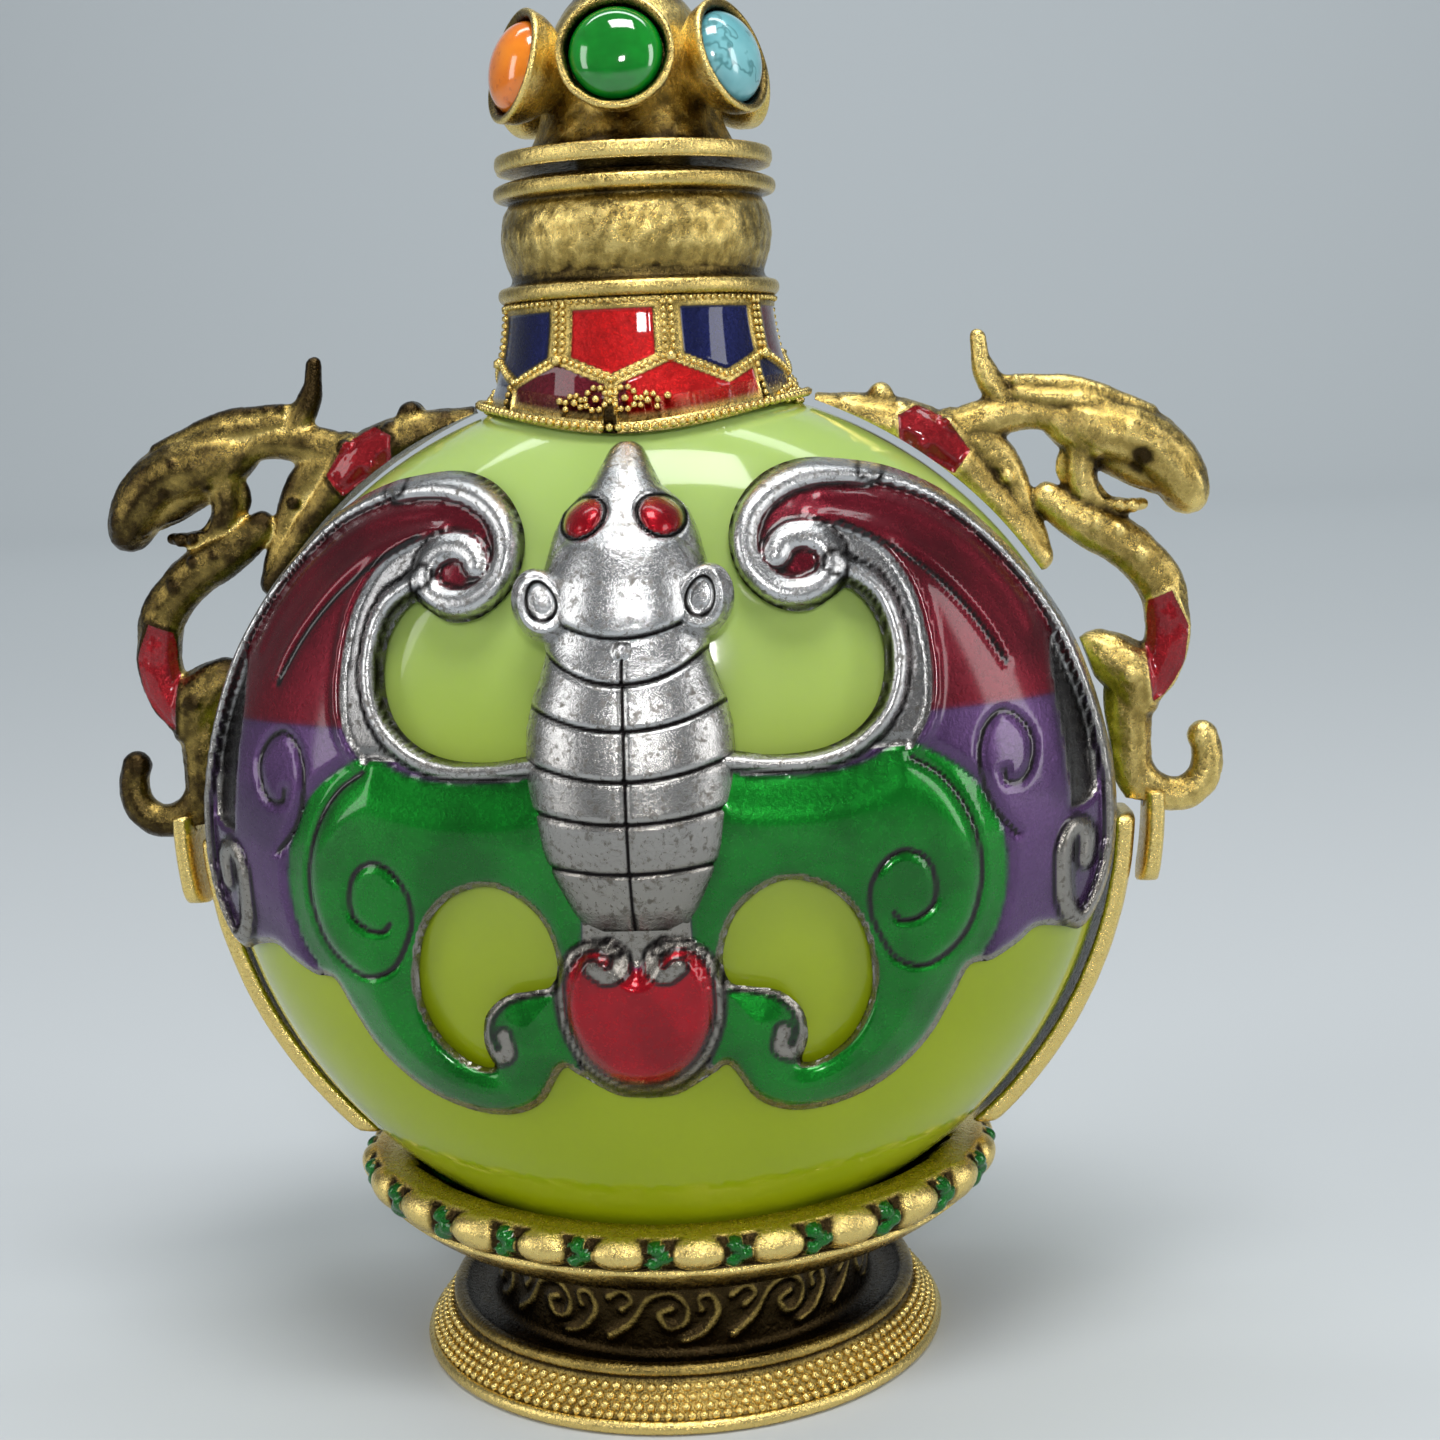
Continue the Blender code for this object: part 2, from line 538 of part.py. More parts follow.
def make_cap():
    """The cap: a short spigot, a thin flange, a core with six bezels, a stem and a bud-shaped knob."""
    flange_top = FLANGE_HEIGHT + CAP_FLANGE_THICKNESS
    stem = FLANGE_HEIGHT + CAP_STEM_HEIGHT
    spigot_radius = BORE_RADIUS - FIT_GAP
    rings = [
        circle(spigot_radius - LIP_CHAMFER, LIP_HEIGHT - SPIGOT_LENGTH),
        circle(spigot_radius, LIP_HEIGHT - SPIGOT_LENGTH + LIP_CHAMFER),
        circle(spigot_radius, FLANGE_HEIGHT),
        circle(CAP_FLANGE_RADIUS - LIP_CHAMFER / 2, FLANGE_HEIGHT),
        circle(CAP_FLANGE_RADIUS, FLANGE_HEIGHT + CAP_FLANGE_THICKNESS / 2),
        circle(CAP_FLANGE_RADIUS - LIP_CHAMFER, flange_top),
        circle(CAP_CORE_RADIUS + CAP_CORE_FLARE, flange_top + CAP_FLANGE_THICKNESS / 2),
        circle(CAP_CORE_RADIUS, FLANGE_HEIGHT + STONE_RING_HEIGHT),
        circle((CAP_CORE_RADIUS + CAP_STEM_RADIUS) / 2, stem - CAP_FLANGE_THICKNESS),
        circle(CAP_STEM_RADIUS, stem),
    ]
    rings += [circle(CAP_KNOB_RADIUS * across, stem + CAP_KNOB_HEIGHT * up) for across, up in KNOB_PROFILE]
    cap = add_object("cap", loft(rings, CAP_SEGMENTS), "antiqued_brass")
    for number in range(STONE_COUNT):
        combine(cap, "UNION", make_bezel(number))
    return cap


def make_stone(number):
    """A domed cabochon in its bezel."""
    seat = BEZEL_REACH - BEZEL_RECESS + FIT_GAP
    rings = [
        circle(STONE_RADIUS, seat),
        circle(STONE_RADIUS, BEZEL_REACH - BEZEL_WALL),
    ]
    rings += [circle(STONE_RADIUS * across, BEZEL_REACH + STONE_DOME * up) for across, up in DOME_PROFILE]
    form = loft(rings, BEZEL_SEGMENTS)
    bmesh.ops.transform(form, matrix=stone_matrix(number), verts=form.verts)
    return add_object("cabochon_%d" % (number + 1), form, STONE_FINISHES[number % len(STONE_FINISHES)])


def belly_cutter(name, grow):
    """The belly as a solid, grown by a distance."""
    return add_cutter(name, loft(belly_rings(grow, BELLY_END_ANGLE, BELLY_END_ANGLE, GLASS_ROWS),
                                 GLASS_SEGMENTS))


def main():
    """Build the bottle and its mounts."""
    for old in list(bpy.data.objects):
        bpy.data.objects.remove(old, do_unlink=True)
    glass_clear = belly_cutter("glass_clear", FIT_GAP)
    bat_face = belly_cutter("bat_face", FIT_GAP + BAT_THICKNESS)
    heart_face = belly_cutter("heart_face", FIT_GAP + BAT_THICKNESS + HEART_RELIEF)
    collar_rings = [circle(COLLAR_FOOT_RADIUS + FIT_GAP, BELLY_HEIGHT),
                    circle(COLLAR_FOOT_RADIUS + FIT_GAP, NECK_TOP_HEIGHT)]
    collar_clear = add_cutter("collar_clear", loft(collar_rings, NECK_SEGMENTS))
    make_bottle()
    make_foot()
    make_neck_mount(glass_clear)
    for name, side in (("left", -1), ("right", 1)):
        make_band("side_band_" + name, side)
        outline = band_outline(-FIT_GAP, 2 * FIT_GAP + BAND_THICKNESS, BAND_FOOT_HEIGHT,
                               BAND_TOP_HEIGHT + FIT_GAP)
        half = BAND_WIDTH / 2 + FIT_GAP
        band_clear = add_cutter("band_clear_" + name, plate([mirrored(outline, side)], -half, half))
        make_dragon("dragon_" + name, side, [glass_clear, band_clear, collar_clear])
    make_bat("bat_front", -1, glass_clear, bat_face, heart_face)
    make_bat("bat_back", 1, glass_clear, bat_face, heart_face)
    make_cap()
    for number in range(STONE_COUNT):
        make_stone(number)


main()
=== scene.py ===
"""Looks of a glass snuff bottle in an antiqued brass mount, with bats and dragon handles.

Shapes are drawn in millimetres, from the foot's underside up, and turned into metres at the end of
each piece.
"""

import math

import bmesh
import bpy
import numpy as np
from mathutils import Matrix, Vector, noise


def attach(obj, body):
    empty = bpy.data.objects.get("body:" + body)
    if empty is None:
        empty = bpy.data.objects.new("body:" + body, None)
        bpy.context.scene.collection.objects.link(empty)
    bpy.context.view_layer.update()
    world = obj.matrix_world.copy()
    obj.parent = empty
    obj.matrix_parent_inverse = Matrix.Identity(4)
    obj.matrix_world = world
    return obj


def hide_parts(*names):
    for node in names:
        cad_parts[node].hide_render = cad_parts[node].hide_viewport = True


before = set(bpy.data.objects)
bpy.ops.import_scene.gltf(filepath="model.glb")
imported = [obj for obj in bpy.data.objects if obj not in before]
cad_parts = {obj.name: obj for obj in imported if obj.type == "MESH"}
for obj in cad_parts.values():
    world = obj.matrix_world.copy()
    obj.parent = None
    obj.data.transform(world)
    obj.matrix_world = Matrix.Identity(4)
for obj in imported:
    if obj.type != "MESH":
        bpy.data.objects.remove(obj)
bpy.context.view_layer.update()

# Studio
# A pale floor that runs up into a pale wall, with a large soft light above, one at each side, a small
# bright one near the camera that gives the metal its sparkle and one for the wall alone.

camera_place = Vector((11.047, -108.795, 50.363)) / 1000
camera_turn, camera_rise, camera_roll = math.radians(4.114), math.radians(9.082), math.radians(-2.36)
back = Vector((math.sin(camera_turn) * math.cos(camera_rise),
               -math.cos(camera_turn) * math.cos(camera_rise), math.sin(camera_rise)))
right = Vector((math.cos(camera_turn), math.sin(camera_turn), 0))
up = back.cross(right)
right, up = (right * math.cos(camera_roll) + up * math.sin(camera_roll),
             up * math.cos(camera_roll) - right * math.sin(camera_roll))
camera = bpy.data.objects.new("camera", bpy.data.cameras.new("camera"))
camera.data.lens = 52.635
camera.data.clip_start = 0.01
camera.matrix_world = Matrix.Translation(camera_place) @ Matrix((right, up, back)).transposed().to_4x4()
bpy.context.scene.collection.objects.link(camera)
bpy.context.scene.camera = camera
bpy.context.scene.view_settings.view_transform = "Standard"


def soft_light(name, place, target, size, watts, colour=(1, 1, 1)):
    """A square soft light that looks at a point."""
    light = bpy.data.lights.new(name, "AREA")
    light.shape = "RECTANGLE"
    light.size, light.size_y = size
    light.energy = watts
    light.color = colour
    lamp = bpy.data.objects.new(name, light)
    lamp.location = place
    lamp.rotation_euler = (Vector(place) - Vector(target)).to_track_quat("Z", "Y").to_euler()
    bpy.context.scene.collection.objects.link(lamp)


middle = (0, 0, 0.035)
soft_light("light_top", (0.03, -0.10, 0.34), middle, (0.16, 0.10), 0.62)
soft_light("light_left", (-0.30, -0.16, 0.14), middle, (0.10, 0.22), 0.30)
soft_light("light_right", (0.32, -0.10, 0.12), middle, (0.08, 0.22), 0.30)
soft_light("light_front", (0.03, -0.26, 0.13), middle, (0.035, 0.035), 0.2)
soft_light("light_wall", (0, 0.25, 1.0), (0, 1.15, 0.35), (1.2, 0.4), 9.0, (0.93, 0.98, 1.0))

world = bpy.data.worlds.new("studio")
bpy.context.scene.world = world
world.use_nodes = True
world.node_tree.nodes["Background"].inputs["Color"].default_value = (0.80, 0.84, 0.88, 1)
world.node_tree.nodes["Background"].inputs["Strength"].default_value = 0.20

form = bmesh.new()
bmesh.ops.create_grid(form, x_segments=1, y_segments=1, size=1.0)
wall_edges = [edge for edge in form.edges if all(vert.co.y > 0.5 for vert in edge.verts)]
wall = bmesh.ops.extrude_edge_only(form, edges=wall_edges)["geom"]
bmesh.ops.translate(form, vec=(0, 0.3, 1.2),
                    verts=[item for item in wall if isinstance(item, bmesh.types.BMVert)])
bmesh.ops.bevel(form, geom=wall_edges, offset=0.3, segments=16, profile=0.5, affect="EDGES", material=-1)
mesh = bpy.data.meshes.new("floor")
form.to_mesh(mesh)
form.free()
mesh.shade_smooth()
floor = bpy.data.objects.new("floor", mesh)
bpy.context.scene.collection.objects.link(floor)
paper = bpy.data.materials.new("paper")
paper.use_nodes = True
paper.node_tree.nodes["Principled BSDF"].inputs["Base Color"].default_value = (0.55, 0.58, 0.60, 1)
paper.node_tree.nodes["Principled BSDF"].inputs["Roughness"].default_value = 0.9
floor.data.materials.append(paper)

# Glass bottle
# A flattened, nearly round bottle of milky yellow-green glass with a polished clear skin, blown and
# ground, with a hollow inside and an open neck. It stands in the cup of the foot.

BELLY_MIDDLE, BELLY_RISE = 28.196, 22.4
BELLY_WIDTH, BELLY_DEPTH = 23.3, 13.8
SHOULDER, LIP = 49.79, 60.49


def belly_size(z, off=0.0):
    """Half width and half depth of the belly at a height, and a distance off the glass."""
    share = np.clip((np.asarray(z, float) - BELLY_MIDDLE) / (BELLY_RISE + off), -0.99999, 0.99999)
    side = np.sqrt(1 - share * share)
    return (BELLY_WIDTH + off) * side, (BELLY_DEPTH + off) * side ** np.where(share > 0, 0.70, 0.55)


def oval_sheet(rings, segments, wave=None):
    """A closed sheet through level oval rings (half width, half depth, height), open at its ends.

    wave(angle, row) gives how much further out than its ring a point lies, as a share.
    """
    form = bmesh.new()
    bmesh.ops.create_grid(form, x_segments=segments, y_segments=len(rings) - 1, size=1.0)
    for vert in form.verts:
        angle = math.pi * (vert.co.x - 0.5)
        row = round((vert.co.y + 1) / 2 * (len(rings) - 1))
        half_x, half_y, height = rings[row]
        swell = 1 + (wave(angle, row) if wave else 0)
        vert.co = (half_x * swell * math.cos(angle), half_y * swell * math.sin(angle), height)
    bmesh.ops.remove_doubles(form, verts=form.verts, dist=1e-4)
    return form


def smooth_line(points, steps=6, closed=False):
    """A smooth curve through points, as an array."""
    points = np.array(points, float)
    if closed:
        padded = np.vstack([points[-1:], points, points[:2]])
    else:
        padded = np.vstack([2 * points[:1] - points[1:2], points, 2 * points[-1:] - points[-2:-1]])
    share = (np.arange(steps) / steps)[:, None]
    line = []
    for before, start, end, after in zip(padded, padded[1:], padded[2:], padded[3:]):
        line.append(0.5 * (2 * start + (end - before) * share
                           + (2 * before - 5 * start + 4 * end - after) * share ** 2
                           + (3 * start - before - 3 * end + after) * share ** 3))
    return np.vstack(line if closed else line + [points[-1:]])


def link_piece(name, mesh, materials, node):
    """Show a mesh as a piece that stands for a CAD node."""
    for material in materials:
        mesh.materials.append(material)
    piece = bpy.data.objects.new(name, mesh)
    bpy.context.scene.collection.objects.link(piece)
    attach(piece, "root")
    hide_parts(node)
    return piece


def to_mesh(name, form):
    """Turn a form drawn in millimetres into a smooth mesh in metres."""
    bmesh.ops.recalc_face_normals(form, faces=form.faces)
    bmesh.ops.scale(form, vec=(0.001, 0.001, 0.001), verts=form.verts)
    mesh = bpy.data.meshes.new(name)
    form.to_mesh(mesh)
    form.free()
    mesh.shade_smooth()
    return mesh


class Shader:
    """A material and short ways to add and join its nodes."""

    def __init__(self, name):
        self.material = bpy.data.materials.new(name)
        self.material.use_nodes = True
        self.tree = self.material.node_tree
        self.surface = self.tree.nodes["Principled BSDF"]

    def set(self, **values):
        """Set sockets of the surface, to a value or to the output of a node."""
        for name, value in values.items():
            self.join(value, self.surface.inputs[name.replace("_", " ")])
        return self

    def join(self, value, socket):
        """Join an output to a socket, or set the socket's value."""
        if isinstance(value, bpy.types.NodeSocket):
            self.tree.links.new(value, socket)
        elif isinstance(value, tuple) and len(value) == 3 and socket.type == "RGBA":
            socket.default_value = (*value, 1)
        elif value is not None:
            socket.default_value = value

    def node(self, kind, output=0, **values):
        """Add a node: whole-word settings first, then sockets by number (_0) or name."""
        node = self.tree.nodes.new(kind)
        for name, value in values.items():
            if hasattr(node, name) and not name.startswith("_"):
                setattr(node, name, value)
        for name, value in values.items():
            if name.startswith("_"):
                self.join(value, node.inputs[int(name[1:])])
            elif not hasattr(node, name):
                self.join(value, node.inputs[name.replace("_", " ")])
        return node.outputs[output]

    def place(self):
        """Where a point is on the object, in metres."""
        return self.node("ShaderNodeTexCoord", output=3)

    def noise(self, scale, detail=3.0, rough=0.55, output=0):
        """Soft noise of about so many lumps a metre."""
        return self.node("ShaderNodeTexNoise", output=output, Vector=self.place(), Scale=scale,
                         Detail=detail, Roughness=rough)

    def attribute(self, name):
        """A value stored on the mesh."""
        return self.node("ShaderNodeAttribute", output=2, attribute_name=name)

    def math(self, operation, first, second=0.0, clamp=False):
        """A sum of two values."""
        return self.node("ShaderNodeMath", operation=operation, use_clamp=clamp, _0=first, _1=second)

    def spread(self, value, low, high, to_low=0.0, to_high=1.0):
        """Stretch a range of values over another, with soft ends."""
        return self.node("ShaderNodeMapRange", interpolation_type="SMOOTHSTEP", _0=value, _1=low, _2=high,
                         _3=to_low, _4=to_high)

    def mix(self, share, first, second, blend="MIX"):
        """A colour between two."""
        node = self.tree.nodes.new("ShaderNodeMix")
        node.data_type = "RGBA"
        node.blend_type = blend
        self.join(share, node.inputs[0])
        self.join(first, node.inputs[6])
        self.join(second, node.inputs[7])
        return node.outputs[2]

    def bump(self, height, distance, strength=1.0, normal=None):
        """A bump of so many metres."""
        return self.node("ShaderNodeBump", Height=height, Distance=distance, Strength=strength,
                         Normal=normal)


jade = Shader("jade_glass")
heights = jade.node("ShaderNodeSeparateXYZ", output=2, _0=jade.place())
pale = jade.mix(jade.spread(jade.noise(90, 2), 0.35, 0.7), (0.39, 0.55, 0.15), (0.45, 0.61, 0.20))
deep = jade.mix(jade.spread(jade.noise(60, 2), 0.35, 0.7), (0.31, 0.39, 0.003), (0.35, 0.43, 0.006))
# Painted light: the glass is painted paler and whiter towards the top and deeper, more saturated green lower
# down, for light falling on its top and glowing through its lower part.
glass_lit_by_height = jade.mix(jade.spread(heights, 0.018, 0.050), deep, pale)
rim = jade.node("ShaderNodeLayerWeight", output=1, Blend=0.35)
jade.set(Base_Color=jade.mix(jade.spread(rim, 0.45, 0.95), glass_lit_by_height, (0.33, 0.40, 0.02)),
         Roughness=jade.spread(jade.noise(400, 4), 0.3, 0.8, 0.10, 0.22),
         Subsurface_Weight=0.35, Subsurface_Scale=0.002, IOR=1.52,
         Specular_IOR_Level=0.15, Coat_Weight=0.8, Coat_Roughness=0.05, Coat_IOR=1.38,
         Normal=jade.bump(jade.noise(120, 2), 0.0002, 0.25))
jade.surface.inputs["Subsurface Radius"].default_value = (1.0, 1.0, 0.3)

rings = []
for angle in np.linspace(math.radians(15.4), math.radians(164.6), 90):
    height = BELLY_MIDDLE - BELLY_RISE * math.cos(angle)
    rings.append((*belly_size(height), height))
rings += [(5.2, 5.2, SHOULDER + 0.1), (4.9, 4.9, SHOULDER + 0.5), (4.9, 4.9, LIP - 0.4),
          (4.78, 4.78, LIP - 0.12),
          (4.5, 4.5, LIP), (3.6, 3.6, LIP), (3.32, 3.32, LIP - 0.12), (3.2, 3.2, LIP - 0.4),
          (3.2, 3.2, 48.4)]
for angle in np.linspace(math.radians(162), math.radians(10), 50):
    height = BELLY_MIDDLE - (BELLY_RISE - 2.5) * math.cos(angle)
    rings.append((*belly_size(height, -2.5), height))
form = oval_sheet(rings, 128)
bmesh.ops.holes_fill(form, edges=[edge for edge in form.edges if edge.is_boundary], sides=0)
link_piece("bottle", to_mesh("bottle", form), [jade.material], "glass_bottle")

# Bats
# One bat on the front and one on the back, each cast in pewter, bent to the glass and cemented on. Its
# wings have raised rims, and clear red, purple and green enamel lies over the grained metal between
# them. The body with its head and ears stands higher, and the tail is a heart.

wing_outline = smooth_line([
    (0.0, 34.6), (2.4, 34.5), (4.6, 34.3), (6.5, 34.0), (8.6, 34.1), (10.2, 34.7), (11.3, 35.8),
    (11.8, 37.4),
    (11.7, 39.1), (11.1, 40.4), (10.2, 41.2), (9.6, 40.9), (8.4, 40.3), (7.0, 40.5), (5.7, 41.4),
    (4.95, 42.7),
    (4.8, 44.2), (5.4, 45.6), (6.5, 46.6), (8.1, 47.1), (9.9, 47.0), (12.3, 46.5), (14.8, 45.3),
    (17.0, 43.5),
    (19.2, 41.1), (21.0, 38.4), (22.2, 35.4), (23.0, 32.3), (23.3, 29.8), (23.1, 27.1), (22.4, 25.0),
    (21.3, 23.7),
    (20.2, 24.1), (18.9, 24.4), (17.9, 23.8), (16.6, 23.2), (15.5, 23.1), (14.6, 21.6), (13.4, 19.7),
    (11.5, 18.0),
    (9.3, 17.0), (7.0, 16.75), (5.2, 17.5), (4.0, 19.3), (3.2, 19.0), (1.5, 18.0), (0.0, 17.8),
], 5)
window = smooth_line([
    (7.3, 28.2), (9.1, 27.5), (10.3, 26.0), (10.8, 24.0), (10.7, 22.3), (9.9, 20.6), (8.6, 19.5),
    (7.4, 19.3),
    (7.7, 20.5), (7.5, 21.9), (6.5, 22.9), (5.3, 23.2), (4.2, 23.5), (3.9, 24.8), (4.5, 26.6), (5.8, 27.8),
], 6, closed=True)
green_field = smooth_line([
    (3.0, 33.4), (6.0, 33.1), (9.0, 33.1), (11.0, 33.5), (12.4, 34.2), (14.0, 33.6), (15.9, 32.1),
    (17.2, 29.6),
    (17.4, 27.1), (16.9, 24.9), (16.0, 23.2), (15.5, 20.0), (12.0, 16.0), (7.0, 15.5), (3.0, 17.0),
    (3.2, 20.0),
    (3.6, 22.5), (2.6, 25.5), (2.6, 29.0),
], 5, closed=True)
heart_outline = smooth_line([
    (0.0, 24.2), (0.8, 25.2), (1.9, 25.55), (3.05, 25.1), (3.75, 24.0), (3.9, 22.6), (3.65, 21.1),
    (2.95, 19.7),
    (1.95, 18.7), (0.9, 18.2), (0.0, 18.1),
], 6)
raised_lines = [
    ([(11.3, 46.4), (9.2, 46.55), (7.3, 46.1), (5.95, 45.0), (5.55, 43.6), (5.9, 42.3), (7.0, 41.35),
      (8.2, 41.2),
      (9.2, 41.6), (9.6, 42.5), (9.2, 43.35), (8.3, 43.75), (7.4, 43.55), (7.0, 42.95)], 0.52, 0.55),
    ([(9.6, 42.4), (10.3, 42.1), (11.6, 41.2), (12.3, 39.8), (12.6, 38.0), (12.3, 36.2), (11.4, 34.9),
      (9.9, 33.95),
      (8.1, 33.6), (5.2, 33.8), (2.0, 34.2)], 0.34, 0.45),
    ([(11.3, 46.5), (14.4, 45.3), (16.8, 43.5), (19.0, 41.1), (20.7, 38.4), (21.9, 35.4), (22.7, 32.3),
      (23.0, 29.8),
      (22.8, 27.1), (22.1, 25.1), (21.3, 24.1), (20.5, 24.8), (20.2, 26.3), (20.3, 28.1), (20.9, 29.0),
      (21.5, 28.4),
      (21.4, 27.2)], 0.36, 0.42),
    ([(4.3, 23.5), (5.5, 23.3), (6.7, 22.8), (7.5, 21.8), (7.6, 20.6), (7.2, 19.8), (6.5, 20.0),
      (6.6, 20.9)], 0.3, 0.28),
    ([(0.9, 25.1), (1.9, 25.45), (2.95, 25.05), (3.6, 23.95), (3.75, 22.6), (3.5, 21.15), (2.85, 19.8),
      (1.9, 18.85),
      (0.9, 18.35), (0.0, 18.25)], 0.17, 0.20),
    ([(2.0, 24.3), (1.4, 23.9), (0.8, 24.2), (0.75, 24.9), (1.3, 25.35)], 0.3, 0.36),
]
thin_ridges = [
    ([(8.7, 44.5), (10.6, 43.9), (12.2, 42.9), (13.4, 41.1), (14.0, 38.9), (14.2, 37.0), (14.0, 35.2),
      (13.2, 33.8)],
     0.22, 0.28),
    ([(9.3, 44.6), (11.6, 43.9), (13.8, 42.5), (15.5, 40.8), (16.9, 39.0), (17.6, 37.6)], 0.22, 0.14),
    ([(9.1, 45.4), (11.7, 45.1), (13.9, 44.2), (16.1, 42.6), (18.0, 40.5), (19.0, 38.7)], 0.22, 0.12),
]
engraved_lines = [
    ([(17.9, 29.2), (16.8, 30.6), (16.2, 32.4), (16.3, 34.1), (17.1, 35.0), (18.0, 34.7), (18.7, 33.7),
      (18.7, 32.5), (18.2, 31.7), (17.5, 31.7), (17.3, 32.3)], 0.16, 0.20),
    ([(12.9, 33.4), (14.3, 32.4), (15.4, 30.8), (16.0, 29.0), (16.1, 27.3), (15.6, 25.4), (14.7, 24.2),
      (13.4, 23.5),
      (12.1, 23.9), (11.3, 25.1), (10.8, 26.6), (11.0, 27.9), (11.8, 28.9), (12.7, 29.1), (13.5, 28.6),
      (13.9, 27.6), (13.8, 26.5), (13.1, 25.9), (12.3, 25.8), (11.9, 26.2)], 0.17, 0.26),
    ([(9.9, 44.2), (12.0, 43.1), (14.0, 41.7), (15.7, 40.0), (17.0, 38.2), (17.6, 37.2)], 0.17, 0.12),
]
channel = smooth_line([
    (19.9, 38.9), (20.5, 37.6), (21.3, 35.8), (21.9, 34.0), (22.2, 32.0), (22.2, 30.4), (21.4, 29.8),
    (20.6, 29.8),
    (20.5, 31.0), (20.2, 33.5), (19.8, 36.1),
], 5, closed=True)


def distance_to(points, line):
    """The distance of each point to a line."""
    start, end = line[:-1], line[1:]
    along = end - start
    length = np.maximum((along ** 2).sum(1), 1e-9)
    best = np.full(len(points), 1e9)
    for first in range(0, len(points), 4000):
        part = points[first:first + 4000, None, :] - start
        share = np.clip((part * along).sum(2) / length, 0, 1)
        best[first:first + 4000] = np.sqrt(((part - along * share[:, :, None]) ** 2).sum(2).min(1))
    return best


def is_inside(points, outline):
    """Whether each point lies inside a closed outline."""
    x, z = points[:, :1], points[:, 1:]
    start, end = outline, np.roll(outline, -1, 0)
    crosses = (start[:, 1] > z) != (end[:, 1] > z)
    rise = np.where(np.abs(end[:, 1] - start[:, 1]) < 1e-9, 1e-9, end[:, 1] - start[:, 1])
    at = start[:, 0] + (z - start[:, 1]) / rise * (end[:, 0] - start[:, 0])
    return (crosses & (x < at)).sum(1) % 2 == 1


def closed(line):
    """A closed outline as a line that ends where it starts."""
    return np.vstack([line, line[:1]])


def mirror_join(right_half):
    """A whole outline from its right half, which starts and ends on the middle line."""
    left_half = right_half[-2:0:-1] * (-1, 1)
    return np.vstack([right_half, left_half])


def ease(value, low, high):
    """0 below a value, 1 above another, smooth between."""
    share = np.clip((value - low) / (high - low), 0, 1)
    return share * share * (3 - 2 * share)


def cell_sheet(outlines, cell):
    """A plate between outlines in the XZ plane, cut into small cells, its front at Y -1 and back at 1."""
    plate = bmesh.new()
    for outline in outlines:
        ring = [plate.verts.new((x, -2, z)) for x, z in outline]
        for number, vert in enumerate(ring):
            plate.edges.new((ring[number - 1], vert))
    bmesh.ops.triangle_fill(plate, edges=plate.edges, use_beauty=True)
    low = np.min(outlines[0], 0) - cell
    span = np.max(outlines[0], 0) + cell - low
    thicken(plate, 4)
    cells = bmesh.new()
    across, rise = (int(size / cell) for size in span)
    bmesh.ops.create_grid(cells, x_segments=across, y_segments=rise, size=0.5)
    for vert in cells.verts:
        vert.co = (low[0] + (vert.co.x + 0.5) * span[0], -1, low[1] + (vert.co.y + 0.5) * span[1])
    thicken(cells, 2)
    solids = []
    for name, solid in (("cells", cells), ("plate", plate)):
        mesh = bpy.data.meshes.new(name)
        solid.to_mesh(mesh)
        solid.free()
        solids.append(bpy.data.objects.new(name, mesh))
        bpy.context.scene.collection.objects.link(solids[-1])
    cut = solids[0].modifiers.new("cut", "BOOLEAN")
    cut.operation, cut.solver, cut.object = "INTERSECT", "EXACT", solids[1]
    bpy.context.view_layer.update()
    done = bpy.data.meshes.new_from_object(solids[0].evaluated_get(bpy.context.evaluated_depsgraph_get()))
    form = bmesh.new()
    form.from_mesh(done)
    bpy.data.meshes.remove(done)
    for solid in solids:
        bpy.data.meshes.remove(solid.data)
    return form


def thicken(form, depth):
    """Close a flat sheet with a copy at a depth behind it."""
    grown = bmesh.ops.extrude_face_region(form, geom=form.faces[:])["geom"]
    moved = [item for item in grown if isinstance(item, bmesh.types.BMVert)]
    bmesh.ops.translate(form, vec=(0, depth, 0), verts=moved)
    bmesh.ops.recalc_face_normals(form, faces=form.faces)


